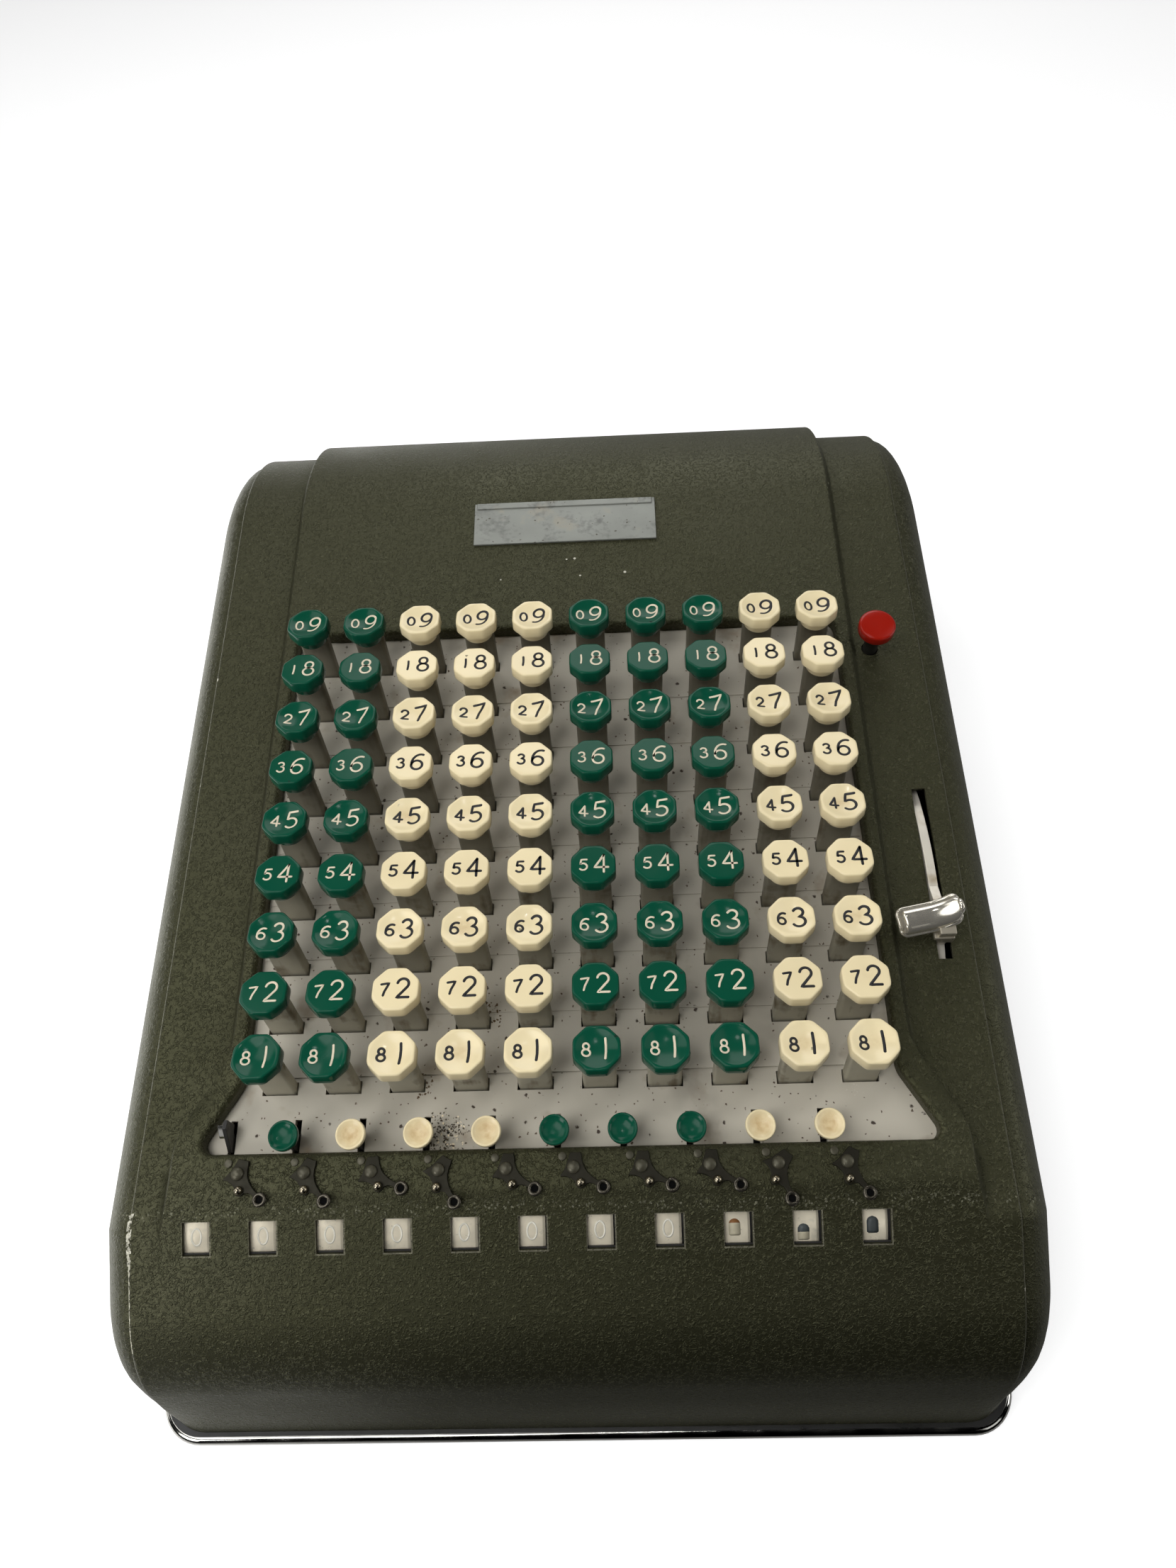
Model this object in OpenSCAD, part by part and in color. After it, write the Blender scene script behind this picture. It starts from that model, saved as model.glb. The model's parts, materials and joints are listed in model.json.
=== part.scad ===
// Ten-column key-driven adding machine.
// X runs to the right, Y to the back, Z up. The origin is the middle of the table-side of the machine.
// "Deck" places are measured on the sloping plane of the key tops: x right, y up the slope, z square to it.

/* [Keyboard] */
// Centre distance of two key columns
column_pitch = 19.05; // [19:0.01:19.1]
// Centre distance of two key rows, measured along the slope
row_pitch = 18.2; // [18:0.05:18.3]
// Slope of the keyboard
deck_slope = 11; // [10.8:0.1:11.2]
// Width of a key cap across its flats
cap_w = 13.4; // [13:0.1:14]
// Height of the octagonal part of a key cap
cap_h = 4.2; // [4:0.1:4.6]
// Width of a key stem
stem_w = 10; // [9.6:0.1:10.2]
// Down stroke of the key that goes furthest
longest_stroke = 8; // [6:0.5:8]

/* [Case] */
// Width of the base, over the chrome strip
base_w = 269; // [268:1:270]
// Depth of the base, over the chrome strip
base_d = 368.6; // [368:0.2:369]
// Half of the hood's width at its widest
hood_half = 140; // [139.5:0.5:141]
// Thickness of the hood's metal
hood_t = 2.2; // [2:0.1:2.4]
// Height of the middle row's key tops above the table
key_top_z = 132; // [131.5:0.5:133]

/* [Register] */
// Radius of a numeral wheel
wheel_r = 18; // [17.8:0.1:18]
// Radius of the steel shafts
shaft_r = 3; // [2.9:0.1:3]
// Gap all round a turning shaft
running_gap = 0.05; // [0.03:0.01:0.08]

/* [Hidden] */
columns = 10;
rows = 9;
wheels = 11;
key_top_y = -31.7;
full = 48;

// Levels on the deck, square to it from the plane of the key tops
raised_z = -20;
shoulder_z = -24.5;
panel_z = -25.5;
panel_t = 2;
crease_half = 125;
raised_half = 101;
cheek_step = 1.6;
// Step that keeps the raised middle just proud of the shoulders where both run into one surface
skin = 0.08;
opening_half = 95.4;
opening_back = 81.5;
opening_front = -95.9;
flare_half = 107.5;

// Hood profile on the deck: window face, front roll, back roll
ridge_y = -106.5;
face_angle = 24.3;
front_roll = [-152.8, -40.9, 39];
front_foot = [-183.3, -130];
back_roll_y = 171.7;
back_roll_r = 68;
back_slope = 50;
back_wall_y = 213.5;
back_low_r = 32;

foot_h = 6;
pan_t = 2;
hood_z0 = 11;
strip_h = 4;
strip_out = strip_h / 2;
corner_r = 14;

lever_pivot = [98.5, 80];
lever_deck_gap = 44;
lever_t = 1.6;
lever_front_y = -112;
step_angle = longest_stroke / max([for (n = [1:rows]) n * lever_reach(n)]);

key_green = "#0c4a36";
key_cream = "#ede3bd";
olive = "#45432f";
steel = "#8f8c84";
panel_grey = "#a29c90";
black = "#24231f";
bright = "#c9ccce";

// Places
function column_x(c) = (c - (columns + 1) / 2) * column_pitch;
function wheel_x(w) = column_x(w - 1) - 0.55;
// Row 9 is at the back and row 1 at the front
function row_y(n) = (n - (rows + 1) / 2) * row_pitch;
function deck_point(y, z) = [key_top_y + y * cos(deck_slope) - z * sin(deck_slope),
                             key_top_z + y * sin(deck_slope) + z * cos(deck_slope)];
function row_top(n) = deck_point(row_y(n), 0);
function lever_reach(n) = lever_pivot[0] - row_top(n)[0];
function stroke(n) = step_angle * n * lever_reach(n);
// Upper edge of the column levers at rest: a straight line that keeps below the deck
function lever_top(y) = deck_point(0, panel_z)[1] - lever_deck_gap + (y - deck_point(0, panel_z)[0]) * tan(deck_slope);

module on_deck(x = 0, y = 0, z = 0) {
    translate([0, key_top_y, key_top_z]) rotate([deck_slope, 0, 0]) translate([x, y, z]) children();
}
// Extrudes an outline drawn in (y, z) along X, on both sides of x = 0
module along_x(length) { rotate([90, 0, 90]) linear_extrude(length, center = true) children(); }
// Extrudes an outline drawn in (x, z) along Y
module along_y(length) { rotate([90, 0, 0]) linear_extrude(length, center = true) children(); }

// Outlines: corners are [x, y, radius], listed counter-clockwise
function unit(v) = v / norm(v);
function flat(p) = [p[0], p[1]];
function at(c, i) = c[(i + len(c)) % len(c)];
function left_of(d) = [-d[1], d[0]];
function corner_arc(p, q, s, r, step) =
    let (u = unit(p - q), v = unit(s - q),
         half = acos(max(-1, min(1, u * v))) / 2,
         centre = q + unit(u + v) * r / sin(half),
         from = q + u * r / tan(half) - centre,
         side = cross(q - p, s - q) > 0 ? 1 : -1,
         sweep = 180 - 2 * half,
         n = max(1, ceil(sweep / step)))
    [for (i = [0:n]) let (a = side * sweep * i / n)
        centre + [from[0] * cos(a) - from[1] * sin(a), from[0] * sin(a) + from[1] * cos(a)]];
function rounded(c, step = 9) =
    [for (i = [0:len(c) - 1]) each corner_arc(flat(at(c, i - 1)), flat(c[i]), flat(at(c, i + 1)), c[i][2], step)];
function inset(c, t) =
    [for (i = [0:len(c) - 1])
        let (p = flat(at(c, i - 1)), q = flat(c[i]), s = flat(at(c, i + 1)),
             d = unit(q - p), e = unit(s - q), n = left_of(d), m = left_of(e),
             out = cross(d, e) > 0 ? -1 : 1,
             moved = q + (n + m) * t / (1 + n * m))
        [moved[0], moved[1], max(0.3, c[i][2] + out * t)]];
function mirrored(c) = concat(c, [for (i = [len(c) - 1:-1:0]) [-c[i][0], c[i][1], c[i][2]]]);
function box_outline(half, front, back, r) =
    [[-half, front, r], [half, front, r], [half, back, r], [-half, back, r]];

// Side view of the hood on the deck, for a top surface at the given level
function hood_side(level) =
    let (line_y = back_roll_y + (level - shoulder_z) * tan(back_slope / 2),
         knee = deck_point(line_y, level),
         reach = back_wall_y + key_top_y - knee[0],
         low = [back_wall_y + key_top_y, knee[1] - reach * tan(back_slope - deck_slope)],
         foot = [back_wall_y + key_top_y, -30])
    [[front_foot[0], front_foot[1], 1],
     concat(to_deck(foot), 1),
     concat(to_deck(low), back_low_r),
     [line_y, level, back_roll_r + level - shoulder_z],
     [ridge_y + (level - raised_z) / tan(face_angle), level, 8],
     front_roll];
function to_deck(p) =
    let (dy = p[0] - key_top_y, dz = p[1] - key_top_z)
    [dy * cos(deck_slope) + dz * sin(deck_slope), -dy * sin(deck_slope) + dz * cos(deck_slope)];

opening = mirrored([[flare_half, opening_front, 3], [opening_half + 0.4, -76, 9], [opening_half, opening_back, 4]]);
raised_plan = mirrored([[114.5, -170, 1], [114.5, -98, 14], [raised_half, -72, 16], [raised_half, 300, 1]]);
panel_plan = mirrored([[flare_half + 2, opening_front - 3, 3], [opening_half + 1.6, -76, 6],
                       [opening_half + 1.6, opening_back + 3, 3]]);

// Solid that fills the hood's outside, drawn in by t
module hood_form(t) {
    intersection() {
        on_deck() along_x(2 * (crease_half - t)) polygon(rounded(inset(hood_side(shoulder_z), t + skin)));
        linear_extrude(200) polygon(rounded(inset(box_outline(132, -181.6, 200, corner_r), t)));
    }
    intersection() {
        on_deck() along_x(2 * raised_half + 40) polygon(rounded(inset(hood_side(raised_z), t)));
        on_deck(z = -70) linear_extrude(80) polygon(rounded(inset(raised_plan, t)));
    }
    intersection() {
        on_deck() along_x(2 * hood_half + 2) polygon(rounded(inset(hood_side(shoulder_z), cheek_step + t)));
        on_deck() along_y(500) polygon(cheek_section(t));
        linear_extrude(200) polygon(rounded(inset(box_outline(hood_half + 0.5, -178, back_wall_y + key_top_y + 1, 28), t)));
        along_y(500) polygon([[-133 + t, 0], [133 - t, 0], [133 - t, hood_z0], [hood_half + 1 - t, 52],
                              [hood_half + 1 - t, 200], [-hood_half - 1 + t, 200], [-hood_half - 1 + t, 52],
                              [-133 + t, hood_z0]]);
    }
}
// Cross-section of the side cheeks: they swell out below the crease
function cheek_section(t) =
    let (swell = hood_half - crease_half, drop = 34, mid_z = shoulder_z - cheek_step - drop)
    concat([[-hood_half + 3 + t, mid_z - 150], [hood_half - 3 - t, mid_z - 150]],
           [for (a = [0:10:90]) [crease_half + (swell - t) * cos(a), mid_z + (drop - t) * sin(a)]],
           [for (a = [90:10:180]) [-crease_half + (swell - t) * cos(a), mid_z + (drop - t) * sin(a)]]);

module hood() color(olive) {
    difference() {
        intersection() {
            hood_form(0);
            translate([-200, -220, hood_z0]) cube([400, 440, 200]);
        }
        hood_form(hood_t);
        on_deck(z = -45) linear_extrude(60) polygon(rounded(opening));
        for (w = [1:wheels]) window_cut(w);
        for (c = [1:columns]) on_deck(pivot_x(c), pointer_y, -40)
            cylinder(r = rivet_r + running_gap, h = 40, $fn = full);
        release_axis() cylinder(r = release_stem_r + running_gap, h = 90, center = true, $fn = full);
        on_deck(clear_x, (slot_front + slot_back) / 2, shoulder_z - 1)
            cube([slot_w, slot_back - slot_front, 14], center = true);
    }
    // Turned-down lip round the key opening
    difference() {
        on_deck(z = panel_z + 0.3) linear_extrude(raised_z - panel_z - 1)
            polygon(rounded(inset(opening, -1.4)));
        on_deck(z = -45) linear_extrude(60) polygon(rounded(opening));
    }
    // Fixed rivet beside each decimal pointer
    for (c = [1:columns]) on_deck(pivot_x(c) - 2.8, pointer_y + 3.4, raised_z - 0.6)
        intersection() {
            translate([0, 0, -0.5]) sphere(r = 1.5, $fn = 24);
            cylinder(r = 0.95, h = 3, $fn = 24);
        }
}

window_w = 7.8;
window_h = 9.4;
window_y = -118.1;
face_depth = 0.5;
function face_z(y) = raised_z + (y - ridge_y) * tan(face_angle);
// Window frame of reference: on the slanting face, z square to it
module on_face(x) { on_deck(x, window_y, face_z(window_y)) rotate([face_angle, 0, 0]) children(); }
module window_cut(w) { on_face(wheel_x(w)) cube([window_w, window_h, 12], center = true); }

module key_panel() color(panel_grey) {
    difference() {
        on_deck(z = panel_z - panel_t) linear_extrude(panel_t) polygon(rounded(panel_plan));
        for (n = [1:rows], c = [1:columns]) translate([column_x(c), row_top(n)[0], row_top(n)[1] - 40])
            translate([-stem_w / 2 - slot_gap, stem_front - slot_gap, 0])
                cube([stem_w + 2 * slot_gap, stem_back - stem_front + 2 * slot_gap, 40]);
        for (c = [1:columns]) on_deck(column_x(c) + cutoff_dx, (cutoff_slot[0] + cutoff_slot[1]) / 2, panel_z)
            cube([cutoff_t + 0.8, cutoff_slot[1] - cutoff_slot[0], 12], center = true);
    }
}

// A key: octagonal cap with a round collar, on a folded sheet-metal stem
stem_t = 1.2;
stem_front = -0.8;
stem_back = 2.2;
slot_gap = 0.35;
collar_r = 4.9;
collar_h = 3.8;
tang_w = 4;
tang_h = 3;
tang_gap = 0.05;
dish_r = 15;
dish_depth = 1.2;

module octagon_taper(top, bottom, h) {
    intersection_for (a = [0:45:135]) rotate([90, 0, a]) linear_extrude(30, center = true)
        polygon([[-bottom / 2, -h], [bottom / 2, -h], [top / 2, 0], [-top / 2, 0]]);
}
// Cap with its top centre at the origin; keys with an odd number are dished
module key_cap(dished) {
    difference() {
        union() {
            octagon_taper(cap_w, cap_w + 0.2, cap_h);
            translate([0, 0, -cap_h - collar_h]) cylinder(r = collar_r, h = collar_h + 1, $fn = full);
        }
        if (dished) translate([0, 0, dish_r - dish_depth]) sphere(r = dish_r, $fn = full);
        translate([-tang_w / 2 - tang_gap, stem_front - tang_gap, -cap_h - collar_h - 1])
            cube([tang_w + 2 * tang_gap, stem_t + 2 * tang_gap, tang_h + 1 + tang_gap]);
    }
}
function is_green(c) = c <= 2 || (c >= 6 && c <= 8);
module key_caps(n) {
    for (c = [1:columns]) color(is_green(c) ? key_green : key_cream)
        translate([column_x(c), row_top(n)[0], row_top(n)[1]]) key_cap(n % 2 == 1);
}
module key_stem(top, bottom) {
    length = top - bottom;
    translate([-stem_w / 2, stem_front, bottom]) {
        cube([stem_w, stem_t, length]);
        cube([1, stem_back - stem_front, length]);
        translate([stem_w - 1, 0, 0]) cube([1, stem_back - stem_front, length]);
    }
    translate([-tang_w / 2, stem_front, bottom]) cube([tang_w, stem_t, length + tang_h]);
}
module key_stems(n) color(steel) {
    top = row_top(n)[1] - cap_h - collar_h;
    bottom = lever_top(row_top(n)[0]) + stroke(n) + 1.5;
    for (c = [1:columns]) translate([column_x(c), row_top(n)[0], 0]) key_stem(top, bottom);
}

// Numeral wheel: a drum with a ten-tooth pinion on its right side
drum_w = 9.6;
pinion_w = 1.2;
wheel_centre = deck_point(window_y, face_z(window_y))
    - (wheel_r + hood_t + face_depth) * [-sin(deck_slope + face_angle), cos(deck_slope + face_angle)];
function star(teeth, inner, outer) =
    [for (i = [0:teeth - 1], s = [[-0.32, inner], [-0.14, outer], [0.14, outer], [0.32, inner]])
        let (a = (i + s[0]) * 360 / teeth) s[1] * [cos(a), sin(a)]];
module register_wheel(w) color(bright) {
    translate([wheel_x(w), wheel_centre[0], wheel_centre[1]]) rotate([0, 90, 0])
        difference() {
            union() {
                translate([0, 0, -drum_w / 2]) cylinder(r = wheel_r, h = drum_w, $fn = full);
                translate([0, 0, drum_w / 2]) linear_extrude(pinion_w) polygon(star(10, 11, 14.5));
            }
            cylinder(r = shaft_r + running_gap, h = 40, center = true, $fn = full);
            translate([0, 0, -drum_w / 2 - 1]) cylinder(r = 14, h = 4, $fn = full);
        }
}

// Decimal pointer: a stamped flag with an eyelet, turning on its rivet
pointer_y = -101.6;
pointer_dx = -7.7;
pointer_angles = [-45, -51, -28, -61, -34, -33, -32, -34, -73, -58];
pointer_t = 0.9;
pointer_arm = 9.8;
ball_at = [3.9, -2.5];
rivet_r = 1.2;
rivet_head_r = 2.1;
function pivot_x(c) = column_x(c) + pointer_dx;
module decimal_pointer(c) color(black) {
    on_deck(pivot_x(c), pointer_y, raised_z + 0.1) rotate(pointer_angles[c - 1]) {
        linear_extrude(pointer_t) difference() {
            union() {
                polygon([[-1.7, -3.9], [0.6, -2.7], [2.9, -3], [5.2, -1.6], [8.4, -0.7], [8.4, 0.7], [3.2, 1.3], [0.9, 2.6],
                         [-0.7, 4.3], [-2.9, 2.7], [-2.3, 0]]);
                translate([pointer_arm, 0]) circle(r = 1.9, $fn = full);
                translate(ball_at) circle(r = 1.5, $fn = full);
            }
            translate([pointer_arm, 0]) circle(r = 1.05, $fn = full);
        }
        intersection() {
            translate([0, 0, pointer_t - 1.4]) sphere(r = 2.6, $fn = full);
            translate([0, 0, pointer_t - 0.4]) cylinder(r = rivet_head_r, h = 3, $fn = full);
        }
        translate([ball_at[0], ball_at[1], pointer_t + 0.6]) sphere(r = 1.1, $fn = full);
        translate([0, 0, -3.6]) cylinder(r = rivet_r, h = 4, $fn = full);
        translate([0, 0, -3.6]) cylinder(r = 2, h = 0.8, $fn = full);
    }
}

// Cut-off lever: a thin blade on a rod under the panel, with a round button; the first has lost its button
cutoff_dx = -12.6;
cutoff_t = 1.2;
cutoff_pivot = [-90, -56];
cutoff_rod_r = 2.5;
cutoff_slot = [-96, -86];
button_z = -11.4;
module cutoff_lever(c) {
    x = column_x(c) + cutoff_dx;
    color(black) on_deck(x) along_x(cutoff_t) difference() {
        union() {
            translate(cutoff_pivot) circle(r = 4.6, $fn = full);
            polygon(c == 1
                ? [[-93.8, -57], [-86.6, -57], [-90, -32], [-90, -24.4], [-87.2, -24], [-86.9, -17.8],
                   [-89.4, -17.2], [-94.9, -24.4], [-94.9, -32]]
                : [[-93.8, -57], [-86.6, -57], [-90, -32], [-90, -23], [-91, -button_drop], [-94, -button_drop],
                   [-94.9, -23.2], [-94.9, -32]]);
        }
        translate(cutoff_pivot) circle(r = cutoff_rod_r + running_gap, $fn = full);
    }
    if (c > 1) color(is_green(c) ? key_green : key_cream)
        on_deck(x, -92.5, button_z) difference() {
            union() {
                translate([0, 0, -2.6]) cylinder(r = 4.2, h = 2.6, $fn = full);
                translate([0, 0, -4.2]) cylinder(r = 2.2, h = 2, $fn = full);
            }
            translate([0, 0, 9.4]) sphere(r = 10, $fn = full);
        }
}
button_drop = 14.4;

// Red release key on a round stem through the right shoulder
release_at = [107.3, 70.2];
release_top = -9.6;
release_stem_r = 2.5;
module release_axis() { on_deck(release_at[0], release_at[1], release_top) children(); }
module release_key() {
    color("#a3201c") release_axis() difference() {
        translate([0, 0, -4.2]) cylinder(r = 6.2, h = 4.2, $fn = full);
        translate([0, 0, -5]) cylinder(r = release_stem_r, h = 3, $fn = full);
    }
    color(steel) release_axis() {
        translate([0, 0, -46]) cylinder(r = release_stem_r, h = 44, $fn = full);
        translate([0, 0, shoulder_z - hood_t - release_top - 1.7]) cylinder(r = 4, h = 1.5, $fn = full);
    }
}

// Clear lever: a sector plate on a stub shaft, its chrome handle above the slot
clear_x = 116;
clear_t = 2.2;
clear_pivot = [-14, -105];
clear_lean = 17.4;
handle_lean = 12;
sector_r = 81;
slot_w = 3.6;
slot_front = -42.9;
slot_back = 14.6;
handle_r = 97;
module clear_lever() {
    color(steel) on_deck(clear_x, clear_pivot[0], clear_pivot[1]) rotate([clear_lean, 0, 0]) difference() {
        along_x(clear_t) union() {
            circle(r = 9, $fn = full);
            intersection() {
                circle(r = sector_r, $fn = 96);
                polygon([[-7, 0], [-3, 100], [70, 72], [7, -2]]);
            }
            polygon([[-1.6, 68.6], [1.2, 82.4], [4.8, 93.8], [11.9, 91.6], [13, 86.6], [14.2, 82.7], [19.3, 78.4],
                     [12, 62]]);
        }
        along_x(clear_t + 4) circle(r = shaft_r + running_gap, $fn = full);
        along_x(clear_t + 4) translate([17, 44]) circle(r = 10, $fn = full);
    }
    color(bright) on_deck(clear_x, clear_pivot[0], clear_pivot[1]) rotate([handle_lean, 0, 0])
        translate([-6.8, 0, handle_r]) rotate(10) along_x(20)
            polygon(rounded([[-4.6, -3.6, 1.5], [4.4, -3.6, 1.5], [4.4, 0.6, 2.2], [-4.6, 0.6, 2.2]], 15));
}

module name_plate() color(bright) {
    on_deck(0.5, 128.5, raised_z) {
        translate([-34, -9.6, 0]) cube([68, 19.2, 0.8]);
        translate([-34, 7.2, 0.8]) cube([68, 2.4, 0.5]);
    }
}

module base_outline(in) { polygon(rounded(inset(box_outline(base_w / 2, -base_d / 2, base_d / 2, corner_r), in))); }
module base_pan() color(black) {
    translate([0, 0, foot_h]) linear_extrude(pan_t) base_outline(strip_out);
    translate([0, 0, foot_h]) linear_extrude(hood_z0 - foot_h) difference() {
        base_outline(strip_out);
        base_outline(strip_out + 2.4);
    }
}
// Half-round bright strip round the foot of the case
module strip_section() {
    translate([0, strip_h / 2]) intersection() {
        circle(r = strip_h / 2, $fn = full);
        translate([0, -strip_h]) square([strip_h, 2 * strip_h]);
    }
    square([0.2, strip_h]);
}
module base_strip() color(bright) {
    run_x = base_w / 2 - corner_r;
    run_y = base_d / 2 - corner_r;
    for (q = [[1, 1, 0], [-1, 1, 90], [-1, -1, 180], [1, -1, 270]])
        translate([q[0] * run_x, q[1] * run_y, foot_h + 0.4]) rotate(q[2])
            rotate_extrude(angle = 90, $fn = full) translate([corner_r - strip_out, 0]) strip_section();
    for (s = [0, 180]) rotate(s) {
        translate([run_x + corner_r - strip_out, 0, foot_h + 0.4]) along_y(2 * run_y) strip_section();
        rotate(90) translate([run_y + corner_r - strip_out, 0, foot_h + 0.4]) along_y(2 * run_x) strip_section();
    }
}

feet_at = [[-112, -158], [112, -158], [-112, 158], [112, 158]];
module rubber_feet() color(black) {
    for (p = feet_at) translate([p[0], p[1], 0]) cylinder(r1 = 10, r2 = 12, h = foot_h, $fn = full);
}

// Frame: two side plates and the shafts that they carry
plate_t = 3;
plate_x = [-115.5, 98.5];
pan_top = foot_h + pan_t;
cutoff_centre = deck_point(cutoff_pivot[0], cutoff_pivot[1]);
clear_centre = deck_point(clear_pivot[0], clear_pivot[1]);
plate_top = panel_z - panel_t - 0.2;
plate_side = concat(
    [[-164, pan_top], [120, pan_top]],
    [deck_point(120, plate_top), deck_point(-99, plate_top)],
    [[-146, 78], [-159, 66], [-166, 48]]);
// Each shaft: place in (y, z), radius, and how far it runs in x
shaft_list = [
    [wheel_centre, shaft_r, -118, 103],
    [lever_pivot, shaft_r, -118, 103],
    [cutoff_centre, cutoff_rod_r, -118, 103],
    [clear_centre, shaft_r, 95, 119],
    [[-150, 22], 4, -118, 103],
    [[108, 24], 4, -118, 103]];
module side_plates() color(steel) {
    for (x = plate_x) translate([x, 0, 0]) along_x(plate_t) difference() {
        polygon(plate_side);
        for (s = shaft_list) translate(s[0]) circle(r = s[1] + 0.02, $fn = full);
    }
}
module cross_shafts() color(steel) {
    for (s = shaft_list) translate([s[2], s[0][0], s[0][1]]) rotate([0, 90, 0])
        cylinder(r = s[1], h = s[3] - s[2], $fn = full);
}

// One lever under each column, all on the back shaft
module column_levers() color(steel) {
    for (c = [1:columns]) translate([column_x(c), 0, 0]) along_x(lever_t) difference() {
        union() {
            translate(lever_pivot) circle(r = 8, $fn = full);
            polygon([[lever_front_y, lever_top(lever_front_y)], [lever_front_y, lever_top(lever_front_y) - 8],
                     [lever_pivot[0] - 3, lever_pivot[1] - 7.4], [lever_pivot[0], lever_top(lever_pivot[0])]]);
        }
        translate(lever_pivot) circle(r = shaft_r + running_gap, $fn = full);
    }
}

hood();
key_panel();
name_plate();
base_pan();
base_strip();
rubber_feet();
side_plates();
cross_shafts();
column_levers();
release_key();
clear_lever();
for (n = [1:rows]) {
    key_caps(n);
    key_stems(n);
}
for (w = [1:wheels]) register_wheel(w);
for (c = [1:columns]) {
    decimal_pointer(c);
    cutoff_lever(c);
}
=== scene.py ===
"""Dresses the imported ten-column adding machine in its paint, plastics and metals, and lights it."""
import json
import math
import random

import bpy
import numpy as np
from mathutils import Matrix, Vector

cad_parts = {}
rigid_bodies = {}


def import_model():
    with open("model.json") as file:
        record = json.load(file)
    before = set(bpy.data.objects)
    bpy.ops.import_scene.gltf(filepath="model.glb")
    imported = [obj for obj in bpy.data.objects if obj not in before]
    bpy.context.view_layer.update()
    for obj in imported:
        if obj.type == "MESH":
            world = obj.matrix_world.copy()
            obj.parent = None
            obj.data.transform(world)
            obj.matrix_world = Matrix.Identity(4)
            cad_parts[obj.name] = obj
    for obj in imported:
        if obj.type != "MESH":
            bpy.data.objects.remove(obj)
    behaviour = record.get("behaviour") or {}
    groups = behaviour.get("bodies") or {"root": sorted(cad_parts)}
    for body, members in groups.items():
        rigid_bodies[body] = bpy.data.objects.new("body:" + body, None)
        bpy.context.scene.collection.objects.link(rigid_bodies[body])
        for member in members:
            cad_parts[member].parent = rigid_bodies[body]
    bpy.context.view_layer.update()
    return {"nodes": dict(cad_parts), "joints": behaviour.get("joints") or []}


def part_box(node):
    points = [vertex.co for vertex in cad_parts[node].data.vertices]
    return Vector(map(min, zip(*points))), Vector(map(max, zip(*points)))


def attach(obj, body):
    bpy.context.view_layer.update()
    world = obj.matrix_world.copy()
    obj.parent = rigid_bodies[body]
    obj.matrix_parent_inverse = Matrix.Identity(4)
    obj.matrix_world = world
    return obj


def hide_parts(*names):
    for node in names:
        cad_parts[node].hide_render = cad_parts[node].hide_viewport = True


for leftover in list(bpy.data.objects):
    bpy.data.objects.remove(leftover)
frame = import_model()


# Base pan: a shallow black-enamelled steel tray that the whole machine is bolted to.
# It shows as a dark line under the hood and at the four corners.
def shader_node(home, kind, inputs=None, **settings):
    """Adds a node to a material or a node group. Each input is a value or the socket that feeds it."""
    tree = getattr(home, "node_tree", home)
    node = tree.nodes.new("ShaderNode" + kind)
    for name, value in settings.items():
        setattr(node, name, value)
    for name, value in (inputs or {}).items():
        if isinstance(value, bpy.types.NodeSocket):
            tree.links.new(value, node.inputs[name])
        else:
            node.inputs[name].default_value = value
    return node


def arithmetic(home, operation, *values, clamp=False):
    """One sum on up to three values or sockets, as a socket."""
    return shader_node(home, "Math", dict(enumerate(values)), operation=operation, use_clamp=clamp).outputs[0]


def product(home, first, *others):
    """Values and sockets multiplied together."""
    for other in others:
        first = arithmetic(home, "MULTIPLY", first, other)
    return first


def ramp(home, value, low, high, to_low=0.0, to_high=1.0, easing="LINEAR"):
    """How far a value has come from low to high, spread over a new range."""
    limits = {"Value": value, "From Min": low, "From Max": high, "To Min": to_low, "To Max": to_high}
    return shader_node(home, "MapRange", limits, interpolation_type=easing).outputs["Result"]


def object_place(home):
    """The place on the object, in metres."""
    return shader_node(home, "TexCoord").outputs["Object"]


def noise(home, scale, detail, place=None, distortion=0.0):
    """Cloudy noise on either side of 0.5."""
    if place is None:
        place = object_place(home)
    cloud = {"Vector": place, "Scale": scale, "Detail": detail, "Distortion": distortion}
    return shader_node(home, "TexNoise", cloud).outputs["Fac"]


def shader_group(name, inputs, outputs):
    """An empty node group, the sockets that feed it and those that it feeds."""
    group = bpy.data.node_groups.new(name, "ShaderNodeTree")
    kinds = {float: "NodeSocketFloat", tuple: "NodeSocketColor"}
    for title, value in inputs.items():
        socket = group.interface.new_socket(title, in_out="INPUT", socket_type=kinds[type(value)])
        socket.default_value = value
    for title, kind in outputs.items():
        group.interface.new_socket(title, in_out="OUTPUT", socket_type=kinds[kind])
    return group, group.nodes.new("NodeGroupInput").outputs, group.nodes.new("NodeGroupOutput").inputs


def build_uneven_group():
    """Tone that drifts in patches, roughness that drifts in smudges, and a fine grain."""
    group, given, result = shader_group(
        "uneven finish",
        {"Color": (0.5, 0.5, 0.5, 1.0), "Tone Spread": 0.1, "Patch Scale": 60.0, "Roughness": 0.5,
         "Roughness Spread": 0.1, "Grain Scale": 900.0},
        {"Color": tuple, "Roughness": float, "Grain": float})
    drift = arithmetic(group, "SUBTRACT", noise(group, given["Patch Scale"], 3.0), 0.5)
    tone = arithmetic(group, "MULTIPLY_ADD", product(group, drift, given["Tone Spread"]), 4.0, 1.0)
    colour = shader_node(group, "VectorMath", {0: given["Color"], "Scale": tone}, operation="SCALE")
    smudges = noise(group, product(group, given["Patch Scale"], 2.7), 2.0)
    swing = product(group, arithmetic(group, "SUBTRACT", smudges, 0.5), given["Roughness Spread"], 4.0)
    group.links.new(colour.outputs[0], result["Color"])
    group.links.new(arithmetic(group, "ADD", given["Roughness"], swing, clamp=True), result["Roughness"])
    group.links.new(noise(group, given["Grain Scale"], 3.0), result["Grain"])
    return group


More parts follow.
